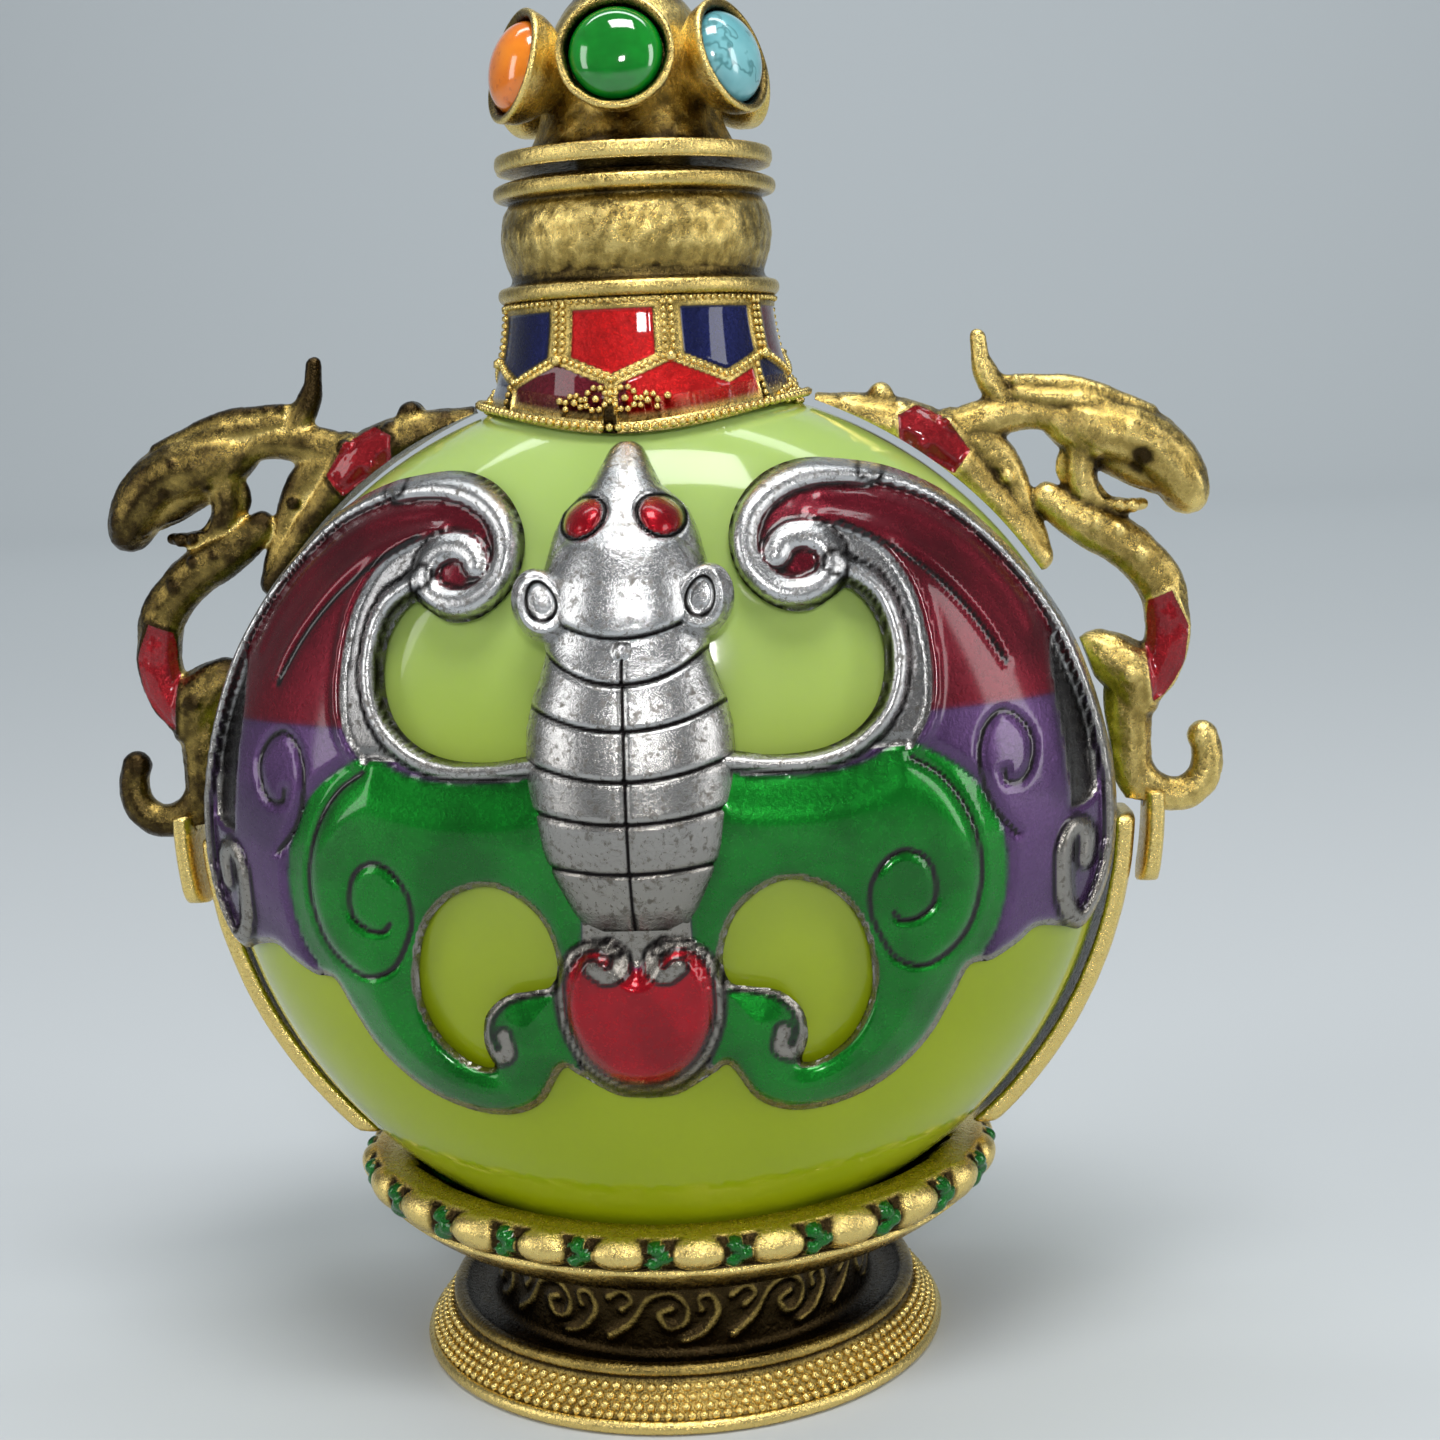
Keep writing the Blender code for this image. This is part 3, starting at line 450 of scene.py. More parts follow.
def wing_relief(points):
    """How high the wings stand off the glass at points (x, z), and the masks of their finishes and of their
    painted shade.
    """
    points = np.abs(points * (1, 0)) + points * (0, 1)
    edge = np.minimum(distance_to(points, wing_outline), distance_to(points, closed(window)))
    in_green = is_inside(points, green_field)
    in_heart = is_inside(points, np.vstack([heart_outline, [(-0.5, 18.1), (-0.5, 24.2)]]))
    green_edge = distance_to(points, closed(green_field))
    in_channel = is_inside(points, channel)
    height = np.full(len(points), 1.0)
    height += 0.55 * ease(np.minimum(edge, green_edge), 0.0, 2.2) * in_green
    height += 0.20 * ease(edge, 0.3, 3.0) * ~in_green
    height -= 0.30 * ease(green_edge, 0.35, 0.0) * ~in_green
    silver = np.zeros(len(points))
    groove = np.zeros(len(points))
    # Painted shade: the sunk channel is marked to be darkened, for the shade inside it.
    hollow = ease(np.where(in_channel, distance_to(points, closed(channel)), 0), 0, 0.3)
    height -= 0.45 * hollow
    silver = np.maximum(silver, ease(hollow, 0.2, 0.6))
    groove = np.maximum(groove, 0.6 * hollow)
    inner_ridge = smooth_line(thin_ridges[0][0], 6)
    between = is_inside(points, np.vstack([inner_ridge, smooth_line(raised_lines[1][0][:8], 6)[::-1]]))
    inward = np.minimum(distance_to(points, inner_ridge),
                        distance_to(points, smooth_line(raised_lines[1][0], 8)))
    between = between * ease(inward, 0.0, 0.35)
    # Painted shade: the sunk strip between the inner ridge and the rim is marked to be darkened.
    height -= 0.25 * between
    silver = np.maximum(silver, between * 0.9)
    groove = np.maximum(groove, between * 0.5)
    height += in_heart * (0.75 * ease(distance_to(points, closed(heart_outline)[:-1]), 0.0, 1.1) + 0.2)
    for line, width, rise in thin_ridges:
        height += rise * np.exp(-(distance_to(points, smooth_line(line, 6)) / width) ** 2)
    for line, width, rise in raised_lines:
        away = distance_to(points, smooth_line(line, 8))
        shape = np.sqrt(np.clip(1 - (away / (width * 1.25)) ** 2, 0, 1))
        height = np.where(shape > 0, np.maximum(height, 0.85 + rise * shape + 0.2), height)
        silver = np.maximum(silver, ease(away, width * 1.35, width * 0.85))
        # Painted shade: a dark line is marked along the foot of each raised rim.
        groove = np.maximum(groove, 0.8 * np.exp(-((away - width * 1.4) / 0.2) ** 2))
    for line, width, depth in engraved_lines:
        cut = np.exp(-(distance_to(points, smooth_line(line, 8)) / width) ** 2)
        height -= depth * cut
        groove = np.maximum(groove, cut)
    # Painted shade: the sunk ledge beside the rim is marked to be darkened.
    ledge = ease(distance_to(points, smooth_line(raised_lines[1][0], 8)), 1.15, 0.8) * (silver < 0.5)
    silver = np.maximum(silver, ease(edge, 0.40, 0.16) * (1 - ledge))
    silver = np.maximum(silver, 0.8 * ledge * (edge < 1.0))
    groove = np.maximum(groove, 0.62 * ledge * (edge < 1.0))
    height -= 0.55 * np.exp(-(edge / 0.24) ** 2)
    heart = ease(np.where(in_heart, 1, -1) * distance_to(points, heart_outline), -0.15, 0.15)
    green = ease(np.where(in_green, green_edge, -green_edge), -0.15, 0.15) * (1 - heart)
    crimson = ease(points[:, 1], 35.2, 35.6) * (1 - green) * (1 - heart)
    beside_heart = (points[:, 0] < 5.4) & (points[:, 1] < 27.5)
    silver = np.maximum(silver, beside_heart * (1 - heart) * (1 - green) * 0.9)
    purple = 1 - np.maximum(np.maximum(green, crimson), heart)
    return height, dict(silver=silver, groove=groove, green=green, red=heart, crimson=crimson,
                        purple=purple)


BODY_WIDTHS = [
    (26.1, 2.3), (26.5, 2.75), (27.2, 3.2), (28.6, 3.95), (30.0, 4.5), (31.5, 4.75), (33.4, 4.9),
    (35.5, 4.8),
    (36.8, 4.5), (37.8, 4.1), (38.8, 3.8), (39.6, 3.85), (40.6, 4.0), (42.0, 4.0), (43.2, 3.65),
    (44.1, 3.4),
    (45.1, 2.95), (45.7, 2.3), (46.2, 1.7), (47.0, 1.25), (47.6, 0.95), (48.0, 0.7), (48.2, 0.3),
]
BODY_HEIGHTS = [
    (26.1, 1.4), (27.0, 2.1), (28.8, 2.7), (31.0, 3.0), (34.0, 3.05), (36.5, 2.9), (38.5, 2.6), (39.4, 2.5),
    (40.4, 2.75), (42.0, 2.9), (43.5, 2.8), (45.0, 2.35), (46.0, 2.0), (47.0, 1.7), (48.2, 1.0),
]
# Rings round the body: height at the middle, how far the ends turn up, how far the part above overhangs
BODY_RINGS = [(39.45, 1.3, 0.42), (37.4, 1.6, 0.30), (35.3, 1.3, 0.16), (33.0, 1.1, 0.14),
              (31.05, 0.8, 0.12),
              (28.75, 0.5, 0.10)]
EYE, EYE_SIZE = (1.8, 44.85), (0.95, 0.85)


def body_relief(u, z):
    """Half width, height off the glass and masks of the bat's body, u from -1 to 1 across it."""
    width = np.interp(z, *zip(*BODY_WIDTHS))
    crown = np.interp(z, *zip(*BODY_HEIGHTS))
    height = 0.4 + (crown - 0.4) * np.clip(1 - np.abs(u) ** 2.3, 0, 1) ** 0.55
    groove = np.zeros(len(z))
    # Painted shade: a dark line is marked under each overlapping ring of the body, where the part above
    # overhangs.
    for level, smile, overhang in BODY_RINGS:
        line = level + smile * u * u
        cut = np.exp(-((z - line) / 0.13) ** 2)
        step = overhang * np.exp(-np.clip(z - line, 0, 9) / 1.1) * ease(z - line, -0.06, 0.1)
        height += step - 0.22 * cut
        groove = np.maximum(groove, cut)
    x = u * width
    dome = np.sqrt(np.clip(1 - ((z - 41.9) / 2.7) ** 2 - (x / 3.7) ** 2, 0, 1))
    height += 0.45 * dome
    seam = np.exp(-(x / 0.11) ** 2) * ease(z, 39.3, 38.9)
    height -= 0.2 * seam
    groove = np.maximum(groove, seam)
    dx, dz = (np.abs(x) - EYE[0]) / EYE_SIZE[0], (z - EYE[1]) / EYE_SIZE[1]
    lean = dx + 0.25 * dz
    away = np.sqrt(lean ** 2 + dz ** 2)
    ring = np.exp(-((away - 1.1) / 0.13) ** 2)
    height += 0.5 * np.sqrt(np.clip(1 - away ** 2, 0, 1)) - 0.25 * ring
    groove = np.maximum(groove, ring)
    knob = np.sqrt(np.clip(1 - (x ** 2 + (z - 38.9) ** 2) / 0.16, 0, 1))
    height += 0.3 * knob
    groove *= knob < 0.1
    return x, height, dict(silver=ease(away, 0.96, 1.04), groove=groove, red=ease(away, 1.04, 0.96))


TRACED_OFF = 1.2
EYE_LEVEL, EYE_DISTANCE = 50.4, 96.0


def on_glass(x, z, height):
    """Places at a height off the glass that the eye sees at (x, z) on a skin a little off the glass."""
    z = z - 0.35 - 0.008 * (48 - z)
    half_x, half_y = belly_size(z, TRACED_OFF)
    share = np.clip(1 - (x / half_x) ** 2, 0.01, 1)
    y = half_y * np.sqrt(share)
    rise = (z - BELLY_MIDDLE) / (BELLY_RISE + TRACED_OFF)
    side_power = np.where(rise > 0, 0.70, 0.55)
    slope_x = half_y * x / half_x ** 2 / np.sqrt(share)
    slope_z = (rise / (1 - rise * rise) / (BELLY_RISE + TRACED_OFF) * half_y
               * (side_power * np.sqrt(share) + (x / half_x) ** 2 / np.sqrt(share)))
    toward = (EYE_LEVEL - z) / EYE_DISTANCE
    facing = (1 + slope_z * toward) / np.sqrt(slope_x ** 2 + 1 + slope_z ** 2)
    out = (height - TRACED_OFF) / np.maximum(facing, 0.6)
    return np.stack([x, y + out, z + toward * out], 1)


MASKS = ("silver", "groove", "red", "crimson", "green", "purple")


def lay_on_glass(form, relief, under):
    """Bend a thick sheet to the glass; relief gives its front and under how high its back is."""
    verts = form.verts[:]
    flat = np.array([(vert.co.x, vert.co.z) for vert in verts])
    is_front = np.array([vert.co.y for vert in verts]) < 0
    x, z, height, masks = relief(flat)
    placed = on_glass(x, z, np.where(is_front, height, under))
    values = [np.asarray(masks.get(name, np.zeros(len(verts))), float) for name in MASKS]
    layers = [form.verts.layers.float.new(name) for name in MASKS]
    for number, vert in enumerate(form.verts):
        vert.co = (placed[number][0], -placed[number][1], placed[number][2])
        for layer, value in zip(layers, values):
            vert[layer] = value[number]
    return form


def add_form(form, extra):
    """Put a copy of another form into a form."""
    spare = bpy.data.meshes.new("spare")
    extra.to_mesh(spare)
    extra.free()
    form.from_mesh(spare)
    bpy.data.meshes.remove(spare)


def make_ear(side):
    """One round ear of the bat, a leaning lobe with a drop-shaped hollow."""
    ear = bmesh.new()
    bmesh.ops.create_icosphere(ear, subdivisions=5, radius=1.0)
    layers = {name: ear.verts.layers.float.new(name) for name in MASKS}
    _, centre_y, centre_z = on_glass(np.array([3.75]), np.array([41.0]), np.array([1.9]))[0]
    for vert in ear.verts:
        x, y, z = vert.co
        away = math.hypot((x + 0.15) * 1.15 / (0.95 - 0.25 * z), (z - 0.15) * 1.2)
        dent = 0.0
        if y < 0:
            dent = 0.45 * float(ease(away, 0.7, 0.45)) - 0.2 * math.exp(-((away - 0.95) / 0.16) ** 2)
            vert[layers["groove"]] = 0.9 * math.exp(-((away - 0.62) / 0.09) ** 2)
        vert[layers["silver"]] = 1.0
        across, rise = x * 1.32, z * 1.75
        lean = math.radians(-16)
        vert.co = (side * (3.75 + across * math.cos(lean) - rise * math.sin(lean)),
                   -centre_y + y * 1.15 + dent,
                   centre_z + rise * math.cos(lean) + across * math.sin(lean))
    return ear


def wing_sheet():
    """Both wings and the heart."""
    outlines = [mirror_join(wing_outline), window, window[::-1] * (-1, 1)]
    form = cell_sheet(outlines, 0.21)

    def relief(flat):
        height, masks = wing_relief(flat)
        return flat[:, 0], flat[:, 1], height, masks

    return lay_on_glass(form, relief, 0.32)


def body_sheet():
    """The bat's body and head."""
    form = bmesh.new()
    bmesh.ops.create_grid(form, x_segments=76, y_segments=180, size=1.0)
    bmesh.ops.rotate(form, cent=(0, 0, 0), matrix=Matrix.Rotation(math.pi / 2, 3, "X"), verts=form.verts)
    bmesh.ops.translate(form, vec=(0, -1, 0), verts=form.verts)
    thicken(form, 2)

    def relief(flat):
        u = np.sin(flat[:, 0] * math.pi / 2) * 0.5 + flat[:, 0] * 0.5
        z = 37.15 + flat[:, 1] * 11.05
        x, height, masks = body_relief(u, z)
        return x, z, height, masks

    return lay_on_glass(form, relief, 0.35)


pewter = Shader("pewter")
silver = pewter.attribute("silver")
groove = pewter.attribute("groove")
grain = pewter.noise(5200, 4, 0.7)
spots = pewter.spread(pewter.noise(2600, 5, 0.75), 0.50, 0.66)
heights = pewter.node("ShaderNodeSeparateXYZ", output=2, _0=pewter.place())
# Painted light: the bare metal is painted lighter higher up, on the head, and darker low on the wings, as if lit
# from above.
metal_lit_from_above = pewter.mix(pewter.spread(heights, 0.026, 0.041), (0.30, 0.28, 0.25), (0.60, 0.60, 0.60))
metal = pewter.mix(pewter.math("MULTIPLY", spots, 0.8), metal_lit_from_above, (0.11, 0.095, 0.075))
enamel = pewter.mix(pewter.attribute("red"), (0.0, 0.0, 0.0), (0.40, 0.001, 0.010))
enamel = pewter.mix(pewter.attribute("crimson"), enamel, (0.15, 0.006, 0.016))
enamel = pewter.mix(pewter.attribute("green"), enamel, (0.001, 0.20, 0.012))
enamel = pewter.mix(pewter.attribute("purple"), enamel, (0.105, 0.050, 0.15))
speckle = pewter.spread(grain, 0.40, 0.64)
cloud = pewter.spread(pewter.noise(260, 3), 0.35, 0.68)
enamel = pewter.mix(pewter.math("MULTIPLY", speckle, 0.35), enamel, (0.9, 0.9, 0.8), "MULTIPLY")
enamel = pewter.mix(pewter.math("MULTIPLY", cloud, 0.6), enamel, (0.35, 0.35, 0.4), "MULTIPLY")
is_metal = pewter.spread(silver, 0.35, 0.65)
surface = pewter.mix(is_metal, enamel, metal)
# Painted shade in part: the pewter is painted near black along its engraved lines, which are dark in the metal
# itself, and also along the foot of raised rims, in the sunk channel and ledges, under the body's overlapping
# rings and round the hollows of the eyes and ears, where shade falls.
dark = pewter.spread(groove, 0.25, 0.8)
pewter.set(Base_Color=pewter.mix(dark, surface, (0.012, 0.010, 0.010)),
           Metallic=pewter.spread(is_metal, 0.0, 1.0, 0.62, 1.0),
           Roughness=pewter.spread(spots, 0.0, 1.0, 0.24, 0.42),
           Specular_IOR_Level=0.15,
           Coat_Weight=pewter.spread(is_metal, 0.2, 0.8, 1.0, 0.0), Coat_Roughness=0.10, Coat_IOR=1.36,
           Normal=pewter.bump(grain, 0.00006, 0.5))

bat = wing_sheet()
add_form(bat, body_sheet())
for side in (-1, 1):
    add_form(bat, make_ear(side))
bat_mesh = to_mesh("bat_front", bat)
link_piece("bat_on_front", bat_mesh, [pewter.material], "bat_front")
back_mesh = bat_mesh.copy()
back_mesh.transform(Matrix.Rotation(math.pi, 4, "Z"))
link_piece("bat_on_back", back_mesh, [], "bat_back")

# Neck mount
# A brass sleeve round the glass neck: a flared collar of enamelled cells walled with beaded wire, a
# ring, a pinch and a hammered bulge, and a turned rim at the top. It is cast, gilt and darkened, and
# cemented to the glass.


def mark_relief(mesh, passes, depth):
    """Store how far each point stands out of its surroundings, or lies behind them when below zero."""
    count = len(mesh.vertices)
    place, normal = np.empty(count * 3), np.empty(count * 3)
    mesh.vertices.foreach_get("co", place)
    mesh.vertices.foreach_get("normal", normal)
    place, normal = place.reshape(-1, 3), normal.reshape(-1, 3)
    ends = np.empty(len(mesh.edges) * 2, int)
    mesh.edges.foreach_get("vertices", ends)
    first, second = ends[::2], ends[1::2]
    near = np.maximum(np.bincount(first, minlength=count) + np.bincount(second, minlength=count), 1)
    smooth = place.copy()
    for _ in range(passes):
        smooth = np.stack([(np.bincount(first, smooth[second, axis], count)
                            + np.bincount(second, smooth[first, axis], count)) / near for axis in range(3)], 1)
    rise = ((place - smooth) * normal).sum(1) / (depth * 0.001)
    relief = mesh.attributes.new("relief", "FLOAT", "POINT")
    relief.data.foreach_set("value", rise)


brass = Shader("antiqued_brass")
relief = brass.attribute("relief")
patches = brass.noise(420, 4, 0.6)
pits = brass.noise(3600, 4, 0.7)
wear_and_shade = brass.math("ADD", relief, brass.math("MULTIPLY", brass.math("SUBTRACT", patches, 0.5), 1.2))
wear_and_shade = brass.math("ADD", wear_and_shade, brass.math("MULTIPLY", brass.math("SUBTRACT", pits, 0.5), 0.8))
# Painted shade: where the shade attribute is set, on the foot's waist below the cup and in the dragons' eye pits
# and open mouths, the brass is painted darker.
wear_and_shade = brass.math("SUBTRACT", wear_and_shade, brass.math("MULTIPLY", brass.attribute("shade"), 1.5))
gold = brass.mix(brass.spread(wear_and_shade, -0.9, 0.35), (0.040, 0.026, 0.010), (0.38, 0.27, 0.075))
gold = brass.mix(brass.spread(wear_and_shade, 0.1, 1.1), gold, (0.83, 0.63, 0.22))
glaze = brass.mix(brass.attribute("red"), (0.0, 0.0, 0.0), (0.60, 0.006, 0.006))
glaze = brass.mix(brass.attribute("blue"), glaze, (0.004, 0.008, 0.075))
glaze = brass.mix(brass.attribute("green"), glaze, (0.004, 0.16, 0.012))
glaze = brass.mix(brass.attribute("wine"), glaze, (0.13, 0.004, 0.014))
glaze = brass.mix(brass.spread(patches, 0.35, 0.7, 0.0, 0.6), glaze, (0.4, 0.4, 0.4), "MULTIPLY")
is_glaze = brass.attribute("red")
for name in ("blue", "green", "wine"):
    is_glaze = brass.math("ADD", is_glaze, brass.attribute(name), clamp=True)
is_glaze = brass.spread(is_glaze, 0.35, 0.65)
brass.set(Base_Color=brass.mix(is_glaze, gold, glaze), Metallic=brass.spread(is_glaze, 0, 1, 1.0, 0.55),
          Roughness=brass.spread(pits, 0.3, 0.7, 0.16, 0.34),
          Specular_IOR_Level=0.2, Coat_Weight=is_glaze, Coat_Roughness=0.04, Coat_IOR=1.4,
          Normal=brass.bump(pits, 0.00012, 0.55))

GLASS_GAP = 0.3
COLLAR_LOW, COLLAR_HIGH = 48.3, 54.6


def collar_radius(z):
    """Radius of the flared collar at a height."""
    return 6.85 + 1.6 * np.clip((COLLAR_HIGH - z) / (COLLAR_HIGH - COLLAR_LOW), 0, 1.1) ** 1.7


def shoulder_heights(angles, radius):
    """Height of the glass at angles round the neck and a distance from its middle."""
    x, y = radius * np.sin(angles), radius * np.cos(angles)
    low, high = np.full(len(angles), 30.0), np.full(len(angles), 50.6)
    for _ in range(30):
        at = (low + high) / 2
        half_x, half_y = belly_size(at, GLASS_GAP)
        inside = (x / half_x) ** 2 + (y / half_y) ** 2 < 1
        low, high = np.where(inside, at, low), np.where(inside, high, at)
    return at.tolist()


def collar_place(angle, z, off=0.0):
    """A place on the collar at degrees round from the front and a height."""
    turn = math.radians(angle)
    radius = float(collar_radius(z)) + off
    return Vector((radius * math.sin(turn), -radius * math.cos(turn), z))


def add_beads(form, places, radius):
    """Add small balls of solder at places."""
    ball = bmesh.new()
    bmesh.ops.create_icosphere(ball, subdivisions=1, radius=radius)
    bead = bpy.data.meshes.new("bead")
    ball.to_mesh(bead)
    ball.free()
    last = Vector((0, 0, 0))
    for place in map(Vector, places):
        bead.transform(Matrix.Translation(place - last))
        form.from_mesh(bead)
        last = place
    bpy.data.meshes.remove(bead)


def beads_along(line, spacing):
    """Places at even steps along a line of vectors."""
    places, left = [line[0]], spacing
    for start, end in zip(line, line[1:]):
        length = (end - start).length
        while left <= length:
            places.append(start.lerp(end, left / length))
            left += spacing
        left -= length
    return places


neck_profile = [(collar_radius(z), z) for z in np.linspace(COLLAR_LOW, COLLAR_HIGH, 46)]
neck_profile += smooth_line([
    (6.80, 54.66), (6.98, 54.74), (7.12, 54.95), (7.13, 55.22), (7.0, 55.42), (6.70, 55.52), (6.48, 55.66),
    (6.40, 55.95), (6.48, 56.25), (6.66, 56.75), (6.80, 57.35), (6.84, 58.0), (6.78, 58.6), (6.62, 59.15),
    (6.45, 59.42), (6.42, 59.58), (6.60, 59.68), (6.95, 59.76), (7.10, 59.92), (7.13, 60.15), (7.06, 60.36),
    (6.86, 60.48), (6.45, 60.62), (5.9, 60.75), (5.35, 60.79),
], 4).tolist()
neck_profile += [(5.2, 60.7), (5.2, 55.0), (5.2, 50.2), (6.0, 50.15), (7.4, 49.9),
                 (collar_radius(COLLAR_LOW), COLLAR_LOW)]
form = oval_sheet([(radius, radius, z) for radius, z in neck_profile], 360)
layers = {name: form.verts.layers.float.new(name) for name in ("red", "blue", "wine", "green")}
edge_heights = [height + 0.1 for height in shoulder_heights(np.radians(np.arange(360)), 8.45)]

SHIELDS = [(-6, "red"), (39, "blue"), (84, "wine"), (129, "blue"), (174, "red"), (219, "blue"), (264, "wine"),
           (309, "blue")]
FANS = [(-54, "wine"), (-6, "red"), (55, "blue"), (100, "wine"), (145, "red"), (190, "wine"), (235, "blue"),
        (265, "blue"), (306, "wine")]
for vert in form.verts:
    x, y, z = vert.co
    radius = math.hypot(x, y)
    turn = math.degrees(math.atan2(x, -y)) % 360
    if z > COLLAR_HIGH + 0.01 or radius < 6.5:
        if radius < 6.7 and 49.5 < z < 50.4:
            vert.co.z = max(z, edge_heights[int(turn) % 360] + 1.2)
        elif 56.0 < z < 59.2 and radius > 6.3:
            dent = 0.05 * noise.noise(Vector((x, y, z)) * 1.6) + 0.025 * noise.noise(Vector((x, y, z)) * 4.5)
            vert.co.x, vert.co.y = x * (1 + dent / radius), y * (1 + dent / radius)
        continue
    share = (z - COLLAR_LOW) / (COLLAR_HIGH - COLLAR_LOW)
    low = edge_heights[int(turn) % 360] * (1 - turn % 1) + edge_heights[(int(turn) + 1) % 360] * (turn % 1)
    z = low + share * (COLLAR_HIGH - low)
    radius = float(collar_radius(z))
    number = round((turn + 6) / 45) % 8
    across = ((turn + 6 + 22.5) % 45 - 22.5) / 22.5
    tip = 50.75 + 1.15 * abs(across)
    if z > tip:
        side = 1 - abs(across) - 0.23
        inside = min(side * 3.0, z - tip - 0.22, 54.15 - z)
        colour = SHIELDS[number][1]
    else:
        colour = [name for start, name in FANS if start <= turn][-1]
        wall = min(abs((turn - start + 180) % 360 - 180) for start, _ in FANS)
        inside = min(tip - 0.30 - z, z - low - 0.55, wall * radius * math.pi / 180 - 0.3)
    inside = min(max(inside / 0.12, 0), 1)
    radius -= 0.14 * inside - 0.05 * min(max((inside - 0.5) * 2, 0), 1)
    vert[layers[colour]] = inside
    vert.co = (radius * math.sin(math.radians(turn)), -radius * math.cos(math.radians(turn)), z)

wires = []
for centre, _ in SHIELDS:
    for shift in (-1.6, 1.6):
        side = centre + 22.5 + shift
        wires.append([collar_place(side, z, 0.02) for z in np.linspace(54.35, 52.0, 12)])
    wires.append([collar_place(centre + turn, 50.75 + 1.15 * abs(turn) / 22.5, 0.02)
                  for turn in np.linspace(-21.5, 21.5, 17)])
    add_beads(form, [collar_place(centre + 22.5, 51.75, 0.08)], 0.34)
for start, _ in FANS:
    top = 50.75 + 1.15 * abs(((start + 6 + 22.5) % 45 - 22.5) / 22.5)
    wires.append([collar_place(start, z, 0.02) for z in np.linspace(top, 49.4, 6)])
for centre in (-6, 84, 174, 264):
    for side in (-1, 1):
        wires.append([collar_place(centre + side * (5.2 + 3.9 * math.cos(turn)),
                                   49.85 + 0.55 * math.sin(turn), 0.05)
                      for turn in np.linspace(-2.6, 2.9, 12)])
        wires.append([collar_place(centre + side * (13.5 + 3.2 * math.cos(turn)),
                                   49.65 + 0.42 * math.sin(turn), 0.05)
                      for turn in np.linspace(-0.6, 4.0, 9)])
    add_beads(form, [collar_place(centre + turn, z, 0.06) for turn, z in
                     ((0, 50.1), (-5.2, 49.85), (5.2, 49.85), (-13, 49.7), (13, 49.7), (-19, 49.8),
                     (20, 49.9))], 0.22)
for wire in wires:
    add_beads(form, beads_along(wire, 0.36), 0.185)
foot_edge = [Vector((8.42 * math.sin(math.radians(turn)), -8.42 * math.cos(math.radians(turn)),
                     edge_heights[turn % 360] + 0.28)) for turn in range(0, 361, 2)]
add_beads(form, beads_along(foot_edge, 0.44), 0.24)
top_edge = [collar_place(turn, 54.5, 0.03) for turn in range(0, 361, 2)]
add_beads(form, beads_along(top_edge, 0.40), 0.16)
mesh = to_mesh("neck_mount", form)
mark_relief(mesh, 14, 0.055)
link_piece("neck_sleeve", mesh, [brass.material], "neck_mount")

# Foot
# A turned brass foot: a granulated skirt between two rings, a waist with raised scrolls, painted dark
# as shade under the cup, and an oval cup whose rim carries gilt bosses with a dot of green enamel
# between each two. The glass is cemented into the cup.


def skirt_height(radius):
    """Height of the granulated skirt at a distance from the middle."""
    return 0.68 + 1.6 * ((13.66 - radius) / 1.2) ** 1.2


BOSSES = 24
CUP_FLOOR, RIM_HEIGHT, SADDLE = 6.3, 9.4, 1.5
scroll_lines = [
    smooth_line([(-2.9, -1.2), (-1.8, -0.4), (-0.9, 0.9), (0.3, 1.25), (1.1, 0.5), (0.9, -0.4), (0.1, -0.6),
                 (-0.3, 0.1), (0.3, 0.4)], 6),
    smooth_line([(0.9, -1.3), (1.9, -0.9), (2.6, 0.1), (2.3, 1.0), (1.7, 0.9), (1.8, 0.3)], 6),
    smooth_line([(-2.9, 0.9), (-2.2, 1.3), (-1.7, 0.8), (-2.2, 0.3)], 6),
]
SCROLL_REPEATS = 10
foot_rings = [(10.9, 10.9, 1.0), (11.0, 11.0, 0.9), (11.35, 11.35, 0.0), (13.6, 13.6, 0.0),
              (13.86, 13.86, 0.06),
              (13.98, 13.98, 0.2), (14.0, 14.0, 0.4), (13.94, 13.94, 0.58), (13.82, 13.82, 0.68),
              (13.72, 13.72, 0.7)]
foot_rings += [(radius, radius, skirt_height(radius)) for radius in np.linspace(13.66, 12.47, 18)]
foot_rings += [(radius, radius, z) for radius, z in smooth_line([
    (12.42, 2.36), (12.50, 2.52), (12.48, 2.74), (12.32, 2.90), (12.05, 2.94), (11.82, 2.84), (11.62, 2.60),
    (11.25, 2.38), (10.75, 2.30), (10.30, 2.36), (10.08, 2.60),
], 3)]
foot_rings += [(radius, radius, z) for radius, z in zip(9.95 + 0.10 * np.linspace(-1, 1, 40) ** 2,
                                                      np.linspace(2.75, 6.0, 40))]
rim_x, rim_y = (float(size) for size in belly_size(RIM_HEIGHT, GLASS_GAP))
cup_x, cup_y = rim_x + 2.0, rim_y + 2.0
for share in np.linspace(0.0, 1.0, 16)[1:]:
    bend = share ** 0.7
    foot_rings.append((10.1 + (cup_x - 0.45 - 10.1) * bend, 10.1 + (cup_y - 0.45 - 10.1) * bend,
                       6.05 + 1.4 * share ** 2.2))
for turn in np.linspace(-80, 90, 22):
    foot_rings.append((cup_x - 0.85 + 0.5 * math.cos(math.radians(turn)),
                       cup_y - 0.85 + 0.5 * math.cos(math.radians(turn)),
                       8.4 + 0.85 * math.sin(math.radians(turn))))
foot_rings += [(rim_x + 0.6, rim_y + 0.6, 9.3), (rim_x + 0.12, rim_y + 0.12, RIM_HEIGHT)]
foot_rings += [(*(float(size) for size in belly_size(z, GLASS_GAP)), z) for z in (9.2, 8.4, 7.4, 6.4)]
form = oval_sheet(foot_rings, 448)
green = form.verts.layers.float.new("green")
shade = form.verts.layers.float.new("shade")
grains = []
